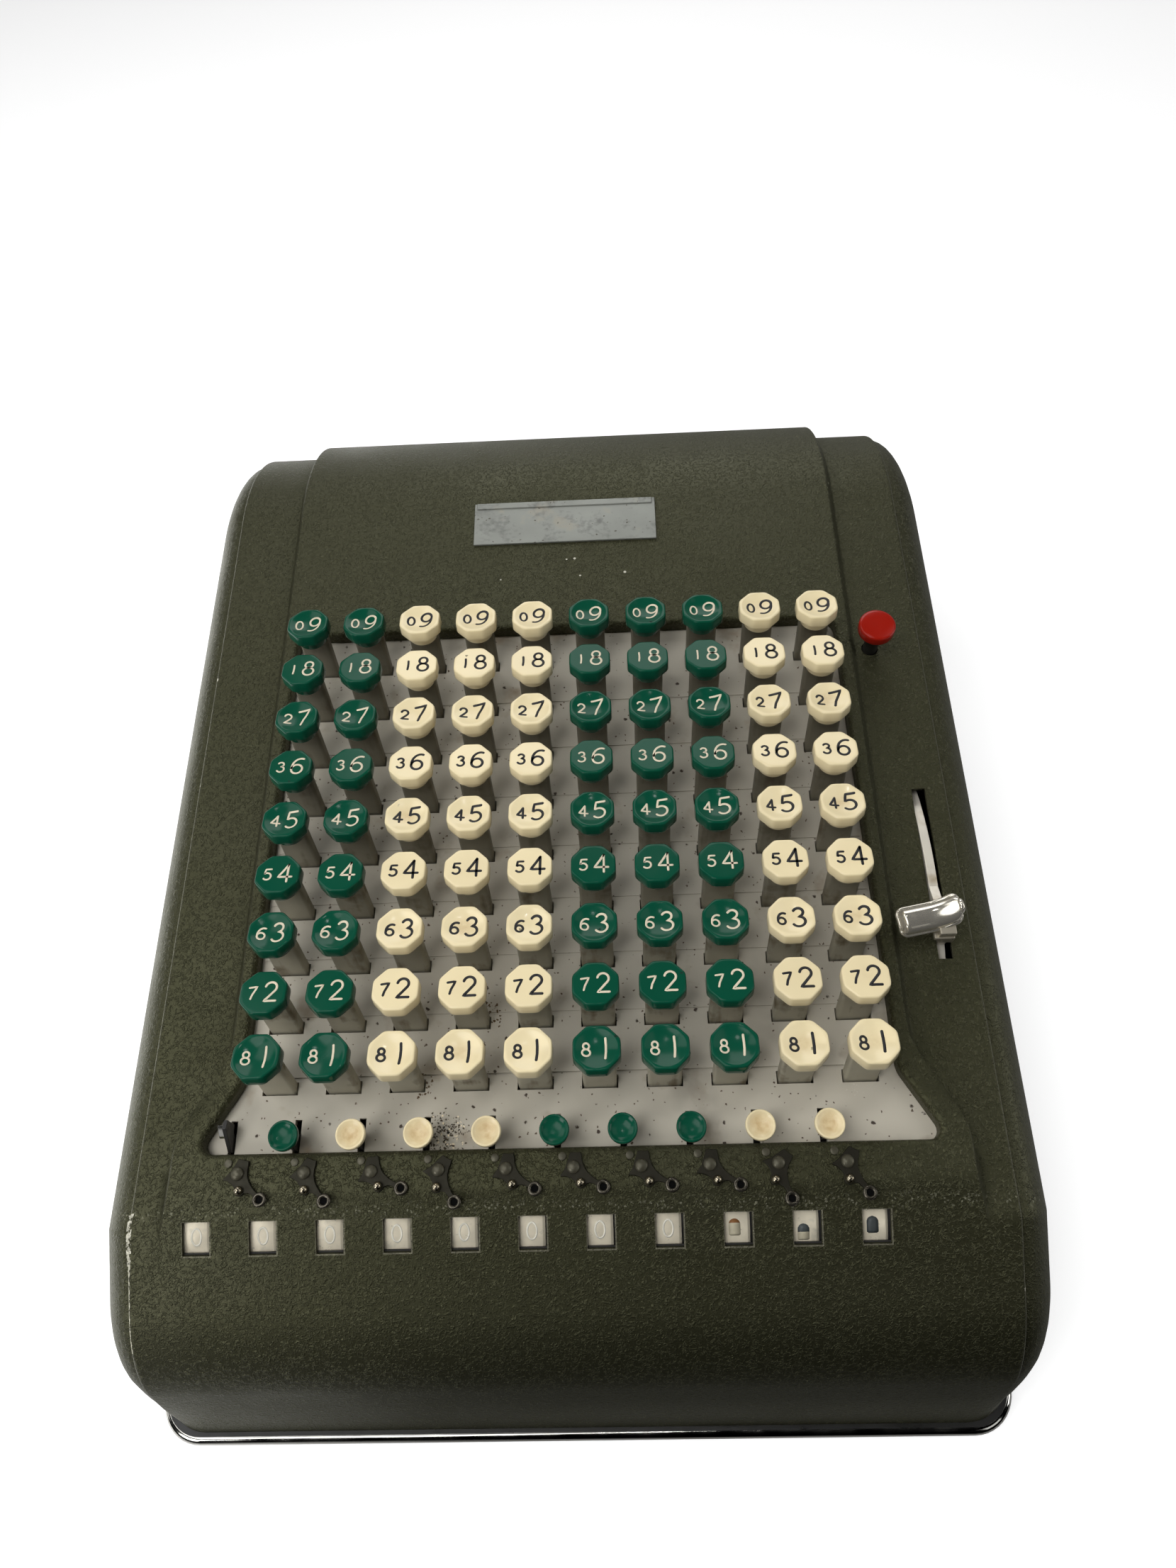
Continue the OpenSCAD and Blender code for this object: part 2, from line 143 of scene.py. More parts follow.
uneven_group = build_uneven_group()


def set_bump(finish, height, depth):
    """Shades a material as if its surface rose by a height from 0 to 1, times a depth in metres."""
    tree = finish.node_tree
    bump = shader_node(tree, "Bump", {"Height": height, "Distance": depth, "Strength": 1.0})
    tree.links.new(bump.outputs["Normal"], tree.nodes["Principled BSDF"].inputs["Normal"])


def uneven_finish(name, color, tone_spread=0.1, patch_scale=60.0, roughness=0.5, roughness_spread=0.08,
                  grain_scale=900.0, grain_depth=0.00002, metallic=0.0, specular=0.5, tint=(1.0, 1.0, 1.0)):
    """A material with drifting tone and gloss over a fine grain."""
    finish = bpy.data.materials.new(name)
    finish.use_nodes = True
    tree = finish.node_tree
    shader = tree.nodes["Principled BSDF"].inputs
    shader["Metallic"].default_value = metallic
    shader["Specular IOR Level"].default_value = specular
    shader["Specular Tint"].default_value = (*tint, 1.0)
    uneven = shader_node(tree, "Group", {
        "Color": (*color, 1.0), "Tone Spread": tone_spread, "Patch Scale": patch_scale, "Roughness": roughness,
        "Roughness Spread": roughness_spread, "Grain Scale": grain_scale}, node_tree=uneven_group).outputs
    tree.links.new(uneven["Color"], shader["Base Color"])
    tree.links.new(uneven["Roughness"], shader["Roughness"])
    set_bump(finish, uneven["Grain"], grain_depth)
    return finish


def lay_over(finish, mask, color=None, roughness=None, metallic=None):
    """Puts another finish over a material where the mask is 1."""
    tree = finish.node_tree
    for socket, value in (("Base Color", color), ("Roughness", roughness), ("Metallic", metallic)):
        if value is None:
            continue
        target = tree.nodes["Principled BSDF"].inputs[socket]
        under = target.links[0].from_socket if target.is_linked else target.default_value
        if socket == "Base Color":
            mixed = shader_node(tree, "Mix", {0: mask, 6: under, 7: (*value, 1.0)}, data_type="RGBA").outputs[2]
        else:
            mixed = shader_node(tree, "Mix", {0: mask, 2: under, 3: value}, data_type="FLOAT").outputs[0]
        tree.links.new(mixed, target)


def round_shading(mesh, angle):
    """Shades a mesh as one curve, but for edges sharper than an angle in degrees."""
    mesh.polygons.foreach_set("use_smooth", [True] * len(mesh.polygons))
    mesh.set_sharp_from_angle(angle=math.radians(angle))


def paint_node(node, finish, smooth_angle=None):
    """Gives a CAD node its finish, and rounds its shading below an angle in degrees."""
    mesh = frame["nodes"][node].data
    mesh.materials.clear()
    mesh.materials.append(finish)
    if smooth_angle is not None:
        round_shading(mesh, smooth_angle)


black_enamel = uneven_finish("black enamel", (0.012, 0.012, 0.011), 0.2, 40.0, 0.35, 0.12, 1200.0, 0.00001)
paint_node("base_pan", black_enamel)

# Feet: four black rubber buttons screwed under the pan, matt and a little dusty.
# They lift the machine 6 mm off the table.
foot_rubber = uneven_finish("foot rubber", (0.022, 0.021, 0.020), 0.25, 90.0, 0.85, 0.08, 1500.0, 0.00004)
paint_node("rubber_feet", foot_rubber, 30)

# Bright strip: half-round chromed brass bent round the foot of the case.
# It is tarnished in places and has a few dull smudges.
strip_chrome = uneven_finish("strip chrome", (0.60, 0.59, 0.55), 0.06, 35.0, 0.12, 0.08, 600.0, 0.000006, 1.0)
paint_node("base_strip", strip_chrome, 40)

# Frame: two plain steel side plates carry the shafts, the tie bars and the levers under the keys.
# The steel is rolled, oiled and has darkened with age.
frame_steel = uneven_finish("frame steel", (0.36, 0.35, 0.33), 0.12, 30.0, 0.45, 0.10, 1100.0, 0.00001, 1.0)
for frame_node in ("side_plates", "cross_shafts", "column_levers"):
    paint_node(frame_node, frame_steel, 30)

# Numeral wheels: dark drums with an aluminium dial band round each, and ten numerals printed on the band.
# The numerals have faded on most wheels; on the three right-hand ones the nought is a filled arch.
MM = 0.001
BAND_R = 19.2
INK_LIFT = 0.03
INK_DEPTH = 0.05
NUMERAL_STEP = math.radians(36.0)
FACE_TILT = math.radians(35.3)
ARCH_X = -0.95
ARCH_REACH = 2.35
ARCH_HALF = 1.62
ARCH_CORNER = 0.5
LOW_ARCH = 1.7


def blotches(finish, scale, low, high):
    """Mask of soft-edged patches in a material."""
    return ramp(finish, noise(finish, scale, 4.0), low, high)


drum_black = uneven_finish("drum black", (0.020, 0.019, 0.017), 0.2, 90.0, 0.6, 0.1)
dial_metal = uneven_finish("dial metal", (0.90, 0.82, 0.64), 0.16, 170.0, 0.36, 0.12, 2200.0, 0.000006, 0.35)
lay_over(dial_metal, blotches(dial_metal, 260.0, 0.58, 0.74), (0.66, 0.61, 0.48), 0.5)
faded_ink = uneven_finish("faded ink", (0.70, 0.67, 0.57), 0.15, 300.0, 0.5, 0.1)
dark_ink = uneven_finish("dark ink", (0.050, 0.058, 0.058), 0.25, 300.0, 0.45, 0.1)
stained_ink = uneven_finish("stained ink", (0.44, 0.40, 0.29), 0.15, 300.0, 0.5, 0.1)
brown_ink = uneven_finish("brown ink", (0.20, 0.085, 0.025), 0.2, 300.0, 0.5, 0.1)


def arc(centre_x, centre_y, radius_x, radius_y, start, end, steps=14):
    """Points on an ellipse from one angle to another, in degrees."""
    angles = [math.radians(start + (end - start) * step / steps) for step in range(steps + 1)]
    return [(centre_x + radius_x * math.cos(a), centre_y + radius_y * math.sin(a)) for a in angles]


# Pen strokes of each numeral in a box 0.6 wide and 1 high
six = [arc(0.47, 0.40, 0.45, 0.58, 72, 186, 12), arc(0.30, 0.29, 0.29, 0.29, 180, 540, 24)]
NUMERALS = {
    "0": [arc(0.30, 0.50, 0.29, 0.50, 90, 450, 28)],
    "1": [[(0.34, 0.97), (0.36, 0.66), (0.36, 0.33), (0.33, 0.0)]],
    "2": [arc(0.30, 0.72, 0.27, 0.27, 168, -38, 14) + [(0.27, 0.27), (0.04, 0.01), (0.30, 0.02), (0.60, 0.02)]],
    "3": [arc(0.27, 0.77, 0.24, 0.22, 150, -90, 14) + arc(0.27, 0.27, 0.30, 0.28, 90, -150, 16)[1:]],
    "4": [[(0.46, 1.0), (0.24, 0.64), (0.0, 0.28), (0.34, 0.28), (0.68, 0.28)],
          [(0.46, 1.0), (0.46, 0.5), (0.46, 0.0)]],
    "5": [[(0.56, 0.98), (0.34, 0.98), (0.13, 0.97), (0.09, 0.76), (0.07, 0.55)]
          + arc(0.27, 0.32, 0.31, 0.31, 128, -140, 16)],
    "6": six,
    "7": [[(0.0, 0.92), (0.28, 0.96), (0.58, 1.0), (0.44, 0.68), (0.28, 0.34), (0.20, 0.0)]],
    "8": [arc(0.30, 0.76, 0.22, 0.23, 90, 450, 20), arc(0.30, 0.27, 0.29, 0.27, 90, 450, 24)],
    "9": [[(0.6 - x, 1.0 - y) for x, y in stroke] for stroke in six],
}


def stroke_ribbon(stroke, width, surface):
    """A flat ribbon with round ends along a pen stroke. The surface maps (x, y) to a point in metres."""
    longest = 0.5
    path = [stroke[0]]
    for point in stroke[1:]:
        last = path[-1]
        pieces = max(1, math.ceil(math.dist(last, point) / longest))
        path += [(last[0] + (point[0] - last[0]) * k / pieces, last[1] + (point[1] - last[1]) * k / pieces)
                 for k in range(1, pieces + 1)]
    closed = math.dist(path[0], path[-1]) < 1e-6
    line = np.array(path[:-1] if closed else path)
    ahead = np.roll(line, -1, axis=0)
    behind = np.roll(line, 1, axis=0)
    if not closed:
        ahead[-1] = line[-1]
        behind[0] = line[0]
    along = ahead - behind
    along /= np.linalg.norm(along, axis=1)[:, None]
    across = np.stack([-along[:, 1], along[:, 0]], axis=1) * width / 2
    flat = [tuple(point) for pair in zip(line + across, line - across) for point in pair]
    count = len(line)
    faces = [(2 * k, 2 * k + 1, (2 * k + 3) % (2 * count), (2 * k + 2) % (2 * count))
             for k in range(count if closed else count - 1)]
    if not closed:
        for end, side in ((0, -1), (count - 1, 1)):
            turn = [math.radians(90 - 30 * step) for step in range(1, 6)]
            first = len(flat)
            flat += [tuple(line[end] + side * along[end] * width / 2 * math.cos(t) + across[end] * math.sin(t))
                     for t in turn]
            ring = [2 * end, *range(first, len(flat)), 2 * end + 1]
            faces.append(tuple(ring if side < 0 else ring[::-1]))
    return [surface(x, y) for x, y in flat], faces


def numeral_shape(numeral, centre, height, stroke_width, surface):
    """Ribbons of one numeral, centred at a place on a surface."""
    return [stroke_ribbon([(centre[0] + (x - 0.3) * height, centre[1] + (y - 0.5) * height) for x, y in stroke],
                          stroke_width, surface) for stroke in NUMERALS[numeral]]


def gathered(shapes):
    """Several shapes as one list of points and one of faces."""
    points = []
    faces = []
    for shape_points, shape_faces in shapes:
        faces += [tuple(index + len(points) for index in face) for face in shape_faces]
        points += shape_points
    return points, faces


def full_turn(steps):
    """Angles at equal steps once round."""
    return [2 * math.pi * step / steps for step in range(steps)]


def tube_shape(rings):
    """Rings of equally many points, each joined to the next and the last to the first."""
    count = len(rings[0])
    faces = []
    for ring in range(len(rings)):
        here = ring * count
        after = (ring + 1) % len(rings) * count
        faces += [(here + k, after + k, after + (k + 1) % count, here + (k + 1) % count) for k in range(count)]
    return [point for ring in rings for point in ring], faces


def plain_mesh(name, shape):
    """A loose mesh object, from points in metres and faces."""
    mesh = bpy.data.meshes.new(name)
    mesh.from_pydata([tuple(point) for point in shape[0]], [], shape[1])
    thing = bpy.data.objects.new(name, mesh)
    bpy.context.scene.collection.objects.link(thing)
    return thing


def make_piece(name, shape, finish, body, smooth_angle=35.0):
    """A mesh piece that rides on a body, its shading rounded below an angle in degrees."""
    piece = plain_mesh(name, shape)
    piece.data.materials.append(finish)
    round_shading(piece.data, smooth_angle)
    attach(piece, body)
    return piece


def give_thickness(piece, depth):
    """Makes a sheet solid by a depth in millimetres, behind the face that shows."""
    sheet = piece.modifiers.new("thickness", "SOLIDIFY")
    sheet.thickness = depth * MM
    sheet.offset = -1.0


def wheel_point(pivot, x, radius, angle):
    """A point in metres from millimetres across and off a wheel's axis, and an angle from its top to the front."""
    return Vector((pivot[0] + x * MM, pivot[1] - radius * MM * math.sin(angle),
                   pivot[2] + radius * MM * math.cos(angle)))


def band_shape(pivot):
    """The dial band: a closed ring round the drum, with its right edge taken off at a slant."""
    section = [(-4.5, 17.9), (-4.5, 19.0), (-4.3, BAND_R), (2.6, BAND_R), (2.75, 19.12), (3.4, 18.6), (3.5, 18.3),
               (3.5, 17.9)]
    return tube_shape([[wheel_point(pivot, x, r, angle) for x, r in section] for angle in full_turn(120)])


def arch_shape(surface, low, high, sunk):
    """A filled nought between two heights: an arched top, upright sides and slightly rounded lower corners."""
    points = []
    for y in [low + (high - low) * step / 14 for step in range(15)]:
        rise = max(0.0, y - (ARCH_REACH - ARCH_HALF))
        drop = max(0.0, ARCH_CORNER - ARCH_REACH - y)
        reach = math.sqrt(max(0.0, ARCH_HALF ** 2 - rise ** 2)) - ARCH_CORNER
        reach = max(0.02, reach + math.sqrt(max(0.0, ARCH_CORNER ** 2 - drop ** 2)))
        points += [surface(ARCH_X - reach, y - sunk), surface(ARCH_X + reach, y - sunk)]
    return points, [(2 * k, 2 * k + 1, 2 * k + 3, 2 * k + 2) for k in range(14)]


joint_of = {joint["child"]: joint for joint in frame["joints"]}
for wheel in range(1, 12):
    body = f"register_wheel_{wheel}"
    paint_node(body, drum_black, 30)
    pivot = joint_of[body]["pos_m"]
    make_piece(f"dial_band_{wheel}", band_shape(pivot), dial_metal, body, 30)

    def dial_surface(x, y, pivot=pivot):
        """Millimetres across and up the dial, from the middle of its window."""
        return wheel_point(pivot, x, BAND_R + INK_LIFT, FACE_TILT - y / BAND_R)

    inked = wheel >= 9
    shapes = []
    for numeral in range(1 if inked else 0, 10):
        middle = (ARCH_X if inked else -0.3, numeral * NUMERAL_STEP * BAND_R)
        shapes += numeral_shape(str(numeral), middle, 4.7, 0.75 if inked else 0.55, dial_surface)
    marks = [(f"numerals_wheel_{wheel}", gathered(shapes), dark_ink if inked else faded_ink)]
    for name, level, low, high, sunk, ink in (
            ("arch_cap", 9, 1.2, ARCH_REACH, 0.0, brown_ink), ("arch_foot", 9, -ARCH_REACH, 1.2, 0.0, stained_ink),
            ("arch_cap", 10, 0.05, ARCH_REACH, LOW_ARCH, dark_ink),
            ("arch_foot", 10, -ARCH_REACH, 0.05, LOW_ARCH, stained_ink),
            ("arch", 11, -ARCH_REACH, ARCH_REACH, 0.0, dark_ink)):
        if level == wheel:
            marks.append((f"{name}_wheel_{wheel}", arch_shape(dial_surface, low, high, sunk), ink))
    for name, shape, ink in marks:
        give_thickness(make_piece(name, shape, ink, body), INK_DEPTH)

# Key stems: steel strips folded to a channel, one under each key, dull, scratched and stained brown.
# The web faces the front, and the flanges point to the back. Painted shade darkens the stems towards the back rows.
STEM_W = 10.0
STEM_DEPTH = 3.0
STEM_METAL = 1.0
STEM_FOLD = 1.1
STEM_TANG = 3.0


def build_streak_group():
    """Mask of stains in clouds and in streaks drawn out along Z."""
    group, given, result = shader_group(
        "drawn streaks", {"Scale": 300.0, "Stretch": 0.12, "Low": 0.5, "High": 0.7}, {"Mask": float})
    place = object_place(group)
    parts = shader_node(group, "SeparateXYZ", {"Vector": place}).outputs
    drawn = shader_node(group, "CombineXYZ", {
        "X": parts["X"], "Y": parts["Y"], "Z": product(group, parts["Z"], given["Stretch"])}).outputs[0]
    streaks = product(group, noise(group, given["Scale"], 4.0, drawn), 0.4)
    both = arithmetic(group, "MULTIPLY_ADD", noise(group, 110.0, 5.0, place), 0.6, streaks)
    group.links.new(ramp(group, both, given["Low"], given["High"]), result["Mask"])
    return group


streak_group = build_streak_group()


def stains(finish, scale, stretch, low, high):
    """Mask of drawn-out stains in a material."""
    return shader_node(finish, "Group", {"Scale": scale, "Stretch": stretch, "Low": low, "High": high},
                       node_tree=streak_group).outputs["Mask"]


def along(finish, direction, origin=(0.0, 0.0, 0.0)):
    """Distance of a place on the surface from an origin, measured along a direction, in metres."""
    away = shader_node(finish, "VectorMath", {0: object_place(finish), 1: tuple(origin)}, operation="SUBTRACT")
    return shader_node(finish, "VectorMath", {0: away.outputs[0], 1: tuple(direction)},
                       operation="DOT_PRODUCT").outputs["Value"]


RIGHT = (1.0, 0.0, 0.0)
BACK = (0.0, 1.0, 0.0)
UP = (0.0, 0.0, 1.0)
stem_steel = uneven_finish("stem steel", (0.43, 0.405, 0.32), 0.14, 45.0, 0.46, 0.12, 1600.0, 0.00001, 0.45)
lay_over(stem_steel, stains(stem_steel, 300.0, 0.12, 0.53, 0.66), (0.165, 0.13, 0.08), 0.7, 0.2)
# Painted shade: the stems darken towards the back rows
back_row_shade = ramp(stem_steel, along(stem_steel, BACK), -0.092, -0.020, 0.0, 0.72)
lay_over(stem_steel, back_row_shade, (0.125, 0.112, 0.080))


def stem_outline():
    """Cross-section of the channel, open to the back."""
    half = STEM_W / 2
    fold_x = half - STEM_FOLD
    inner = STEM_FOLD - STEM_METAL
    line = [(-half, STEM_DEPTH)]
    line += arc(-fold_x, STEM_FOLD, STEM_FOLD, STEM_FOLD, 180, 270, 5)
    line += arc(fold_x, STEM_FOLD, STEM_FOLD, STEM_FOLD, 270, 360, 5)
    line += [(half, STEM_DEPTH), (half - STEM_METAL, STEM_DEPTH)]
    line += arc(fold_x, STEM_FOLD, inner, inner, 0, -90, 5)
    line += arc(-fold_x, STEM_FOLD, inner, inner, -90, -180, 5)
    return line + [(-half + STEM_METAL, STEM_DEPTH)]


def column_offsets(row):
    """X of each key column in metres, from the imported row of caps."""
    low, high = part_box(f"key_caps_row_{row}")
    width = high.y - low.y
    pitch = (high.x - low.x - width) / 9
    return [low.x + width / 2 + pitch * column for column in range(10)]


def stacked_shape(layers):
    """A closed shape from outlines of equally many points, each joined to the next, with flat ends."""
    count = len(layers[0])
    last = len(layers) - 1
    faces = [(level * count + k, level * count + (k + 1) % count, (level + 1) * count + (k + 1) % count,
              (level + 1) * count + k) for level in range(last) for k in range(count)]
    faces += [tuple(range(count))[::-1], tuple(range(last * count, last * count + count))]
    return [point for layer in layers for point in layer], faces


for row in range(1, 10):
    node = f"key_stems_row_{row}"
    low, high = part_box(node)
    top = high.z - STEM_TANG * MM
    levels = ((low.z, 1.0), (top - 0.3 * MM, 1.0), (top, 0.985))
    shapes = [stacked_shape([[Vector((column_x + x * MM * width, low.y + y * MM, level)) for x, y in stem_outline()]
                             for level, width in levels]) for column_x in column_offsets(row)]
    stems = make_piece(f"stems_row_{row}", gathered(shapes), stem_steel, f"key_row_{row}", 40)
    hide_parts(node)

# Key panel: a sunk plate of dull grey metal, dirty after decades: dark specks, brown stains and crumbs of debris.
# Eight thin guide strips lie on it, one for each row of keys but the first, each overlapping the one in front.
DECK_SLOPE = math.radians(11.0)
PANEL_LEVEL = -25.5
ROW_PITCH = 18.2
SLOT_W = 10.7
SLOT_LENGTH = 3.8
STRIP_HALF = 95.0
STRIP_METAL = 0.3
STRIP_LIFTS = (0.62, 0.36)
SEAM_IN_FRONT = 1.1
PANEL_BACK = 80.8
caps_low, caps_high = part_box("key_caps_row_5")
deck_origin = Vector((0.0, (caps_low.y + caps_high.y) / 2, caps_high.z))
deck_matrix = Matrix.Translation(deck_origin) @ Matrix.Rotation(DECK_SLOPE, 4, "X")


def on_deck(x, y, z):
    """A place in millimetres on the sloping plane of the key tops, as a point in metres."""
    return deck_matrix @ Vector((x * MM, y * MM, z * MM))


def shift(x, y, z):
    """A move by millimetres."""
    return Matrix.Translation(Vector((x, y, z)) * MM)


def extruded(outline, low, high, matrix=deck_matrix):
    """An outline in (x, y) millimetres drawn up from one level to another, on the deck or where a matrix puts it."""
    return stacked_shape([[matrix @ Vector((x * MM, y * MM, z * MM)) for x, y in outline] for z in (low, high)])


def build_speck_group():
    """Small scattered spots, of which only a share are kept."""
    group, given, result = shader_group(
        "scattered specks", {"Scale": 400.0, "Size": 0.25, "Share": 0.1}, {"Mask": float})
    place = object_place(group)
    bend = shader_node(group, "TexNoise", {"Vector": place, "Scale": 900.0, "Detail": 1.0}).outputs["Color"]
    shift = shader_node(group, "VectorMath", {0: bend, "Scale": 0.0012}, operation="SCALE").outputs[0]
    bent = shader_node(group, "VectorMath", {0: place, 1: shift}, operation="ADD").outputs[0]
    cells = shader_node(group, "TexVoronoi", {"Vector": bent, "Scale": given["Scale"]}).outputs
    spot = ramp(group, cells["Distance"], given["Size"], product(group, given["Size"], 0.6))
    lot = shader_node(group, "SeparateColor", {"Color": cells["Color"]}).outputs["Red"]
    kept = arithmetic(group, "LESS_THAN", lot, given["Share"])
    group.links.new(product(group, spot, kept), result["Mask"])
    return group


speck_group = build_speck_group()


def specks(finish, scale, size, share):
    """Mask of scattered spots in a material."""
    return shader_node(finish, "Group", {"Scale": scale, "Size": size, "Share": share},
                       node_tree=speck_group).outputs["Mask"]


def distance_from(finish, centre):
    """Distance of a place on the surface from a point, in metres."""
    return shader_node(finish, "VectorMath", {0: object_place(finish), 1: tuple(centre)},
                       operation="DISTANCE").outputs["Value"]


def crumbs_at(finish, centre, radius, scale, size, share):
    """Mask of separate crumbs, thick in the middle of a patch and thinner towards its edge."""
    near = ramp(finish, distance_from(finish, centre), radius, 0.3 * radius)
    return specks(finish, scale, size, product(finish, near, share))


panel_metal = uneven_finish("panel metal", (0.445, 0.413, 0.340), 0.08, 38.0, 0.50, 0.12, 1500.0, 0.00001, 0.15)
# Lighter towards the right front of the panel
lighter_right = ramp(panel_metal, along(panel_metal, RIGHT), 0.010, 0.075)
apron = ramp(panel_metal, along(panel_metal, BACK), -0.070, -0.100)
lay_over(panel_metal, product(panel_metal, lighter_right, apron), (0.56, 0.52, 0.43))
lay_over(panel_metal, blotches(panel_metal, 70.0, 0.60, 0.78), (0.27, 0.215, 0.145), 0.7, 0.1)
lay_over(panel_metal, blotches(panel_metal, 24.0, 0.56, 0.72), (0.31, 0.285, 0.235), 0.6, 0.1)
lay_over(panel_metal, specks(panel_metal, 330.0, 0.22, 0.14), (0.055, 0.04, 0.03), 0.9, 0.0)
lay_over(panel_metal, specks(panel_metal, 900.0, 0.30, 0.10), (0.09, 0.06, 0.04), 0.9, 0.0)
for x, y, spread, scale, size, share, color in (
        (-35.5, -91.0, 8.0, 1300.0, 0.55, 0.90, (0.060, 0.045, 0.028)),
        (-35.5, -91.0, 7.0, 1100.0, 0.40, 0.60, (0.80, 0.70, 0.50)),
        (-35.5, -91.0, 6.0, 900.0, 0.36, 0.40, (0.012, 0.010, 0.008)),
        (-25.0, -55.5, 6.5, 1100.0, 0.50, 0.90, (0.085, 0.050, 0.022)),
        (-43.5, -77.0, 4.0, 1100.0, 0.50, 0.90, (0.085, 0.050, 0.022)),
        (-27.5, -67.0, 4.0, 1100.0, 0.50, 0.90, (0.085, 0.050, 0.022)),
        (84.0, -80.0, 3.5, 1500.0, 0.42, 0.60, (0.62, 0.58, 0.50))):
    crumbs = crumbs_at(panel_metal, on_deck(x, y, PANEL_LEVEL), spread * MM, scale, size, share)
    lay_over(panel_metal, crumbs, color, 0.9, 0.0)
paint_node("key_panel", panel_metal)


def strip_shape(front, back, slot_front, slot_back):
    """One guide strip with its ten slots, tilted so that its front edge stands clear of the strip below."""
    edges = [-STRIP_HALF]
    for column_x in column_offsets(5):
        edges += [column_x / MM - SLOT_W / 2, column_x / MM + SLOT_W / 2]
    edges.append(STRIP_HALF)
    rows_y = [front, slot_front, slot_back, back]
    lifts = np.interp(rows_y, (front, back), STRIP_LIFTS)
    points = [on_deck(x, y, PANEL_LEVEL + lift - drop)
              for drop in (0.0, STRIP_METAL) for y, lift in zip(rows_y, lifts) for x in edges]
    wide = len(edges)
    under = wide * len(rows_y)
    faces = []
    for stripe in range(3):
        for cell in range(wide - 1):
            if stripe == 1 and cell % 2 == 1:
                continue
            a = stripe * wide + cell
            faces.append((a, a + 1, a + 1 + wide, a + wide))
            faces.append((a + under + wide, a + wide + 1 + under, a + 1 + under, a + under))
    borders = [pair for face in faces for pair in zip(face, face[1:] + face[:1])]
    known = set(borders)
    faces += [(end, start, start + under, end + under) for start, end in borders
              if start < under and end < under and (end, start) not in known]
    return points, faces


for row in range(2, 10):
    row_middle = (row - 5) * ROW_PITCH
    seam_front = row_middle - ROW_PITCH - SEAM_IN_FRONT
    seam_back = row_middle - SEAM_IN_FRONT if row < 9 else PANEL_BACK
    slot_front = row_middle + PANEL_LEVEL * math.tan(DECK_SLOPE) - 1.2
    strip = strip_shape(seam_front, seam_back, slot_front, slot_front + SLOT_LENGTH)
    make_piece(f"guide_strip_{row}", strip, panel_metal, "case", 20)

# Cut-off levers: thin blackened blades on a rod under the panel, with a dished plastic button on each.
# The first has lost its button, and its bare blade has a small bright bent tab.
BLADE_W = 1.2
BLADE_OFFSET = 12.6
BUTTON_TOP = -11.4
BUTTON_Y = -92.5
GREEN_COLUMNS = (1, 2, 6, 7, 8)
# Stands an outline up, so that it is drawn in (y, z) and its thickness runs along X
SIDE_VIEW = Matrix(((0, 0, 1, 0), (1, 0, 0, 0), (0, 1, 0, 0), (0, 0, 0, 1)))
black_steel = uneven_finish("blackened steel", (0.020, 0.019, 0.017), 0.25, 150.0, 0.48, 0.12, 1500.0, 0.00001)
lay_over(black_steel, blotches(black_steel, 260.0, 0.62, 0.78), (0.10, 0.085, 0.065), 0.6)


def moulded_plastic(name, color, worn_color, worn_roughness, gloss):
    """Glossy moulded plastic that dulls and discolours where the mesh's wear value is high."""
    finish = uneven_finish(name, color, 0.05, 45.0, 0.15, 0.04, 2400.0, 0.000003, specular=gloss)
    wear = shader_node(finish, "Attribute", attribute_name="wear").outputs["Fac"]
    ragged = arithmetic(finish, "MULTIPLY_ADD", noise(finish, 500.0, 4.0), 1.4, -0.1)
    lay_over(finish, arithmetic(finish, "MULTIPLY", wear, ragged, clamp=True), worn_color, worn_roughness)
    lay_over(finish, specks(finish, 260.0, 0.16, 0.05), tuple(0.35 * part for part in color), 0.6)
    return finish


green_plastic = moulded_plastic("green plastic", (0.0035, 0.066, 0.036), (0.010, 0.072, 0.043), 0.36, 0.19)
cream_plastic = moulded_plastic("cream plastic", (0.84, 0.72, 0.45), (0.56, 0.40, 0.20), 0.40, 0.40)


def turned_shape(profile, around, matrix, outline=lambda angle: 1.0):
    """A closed shape from (radius, height, roundness) rings, from the middle of its top to that of its bottom.

    The outline is the shape's reach at an angle where it isn't round.
    """
    points = [Vector((0.0, 0.0, profile[0][1]))]
    for radius, height, *roundness in profile[1:-1]:
        share = roundness[0] if roundness else 1.0
        for angle in full_turn(around):
            reach = radius * (share + (1 - share) * outline(angle))
            points.append(Vector((reach * math.cos(angle), reach * math.sin(angle), height)))
    points.append(Vector((0.0, 0.0, profile[-1][1])))
    faces = [(0, 1 + step, 1 + (step + 1) % around) for step in range(around)]
    for ring in range(len(profile) - 3):
        for step in range(around):
            a = 1 + ring * around + step
            b = 1 + ring * around + (step + 1) % around
            faces.append((a, a + around, b + around, b))
    last = len(points) - 1
    first = last - around
    faces += [(last, first + (step + 1) % around, first + step) for step in range(around)]
    return [matrix @ (point * MM) for point in points], faces


def store_values(piece, name, values):
    """Stores a value on each vertex, such as how worn it is, for the piece's material."""
    piece.data.attributes.new(name, "FLOAT", "POINT").data.foreach_set("value", values)


def soften_edges(piece, width, segments=2):
    """Rounds a piece's sharp edges by a small width in millimetres."""
    bevel = piece.modifiers.new("rounded edges", "BEVEL")
    bevel.width = width * MM
    bevel.segments = segments
    bevel.limit_method = "ANGLE"
    bevel.angle_limit = math.radians(40.0)
    bevel.harden_normals = True


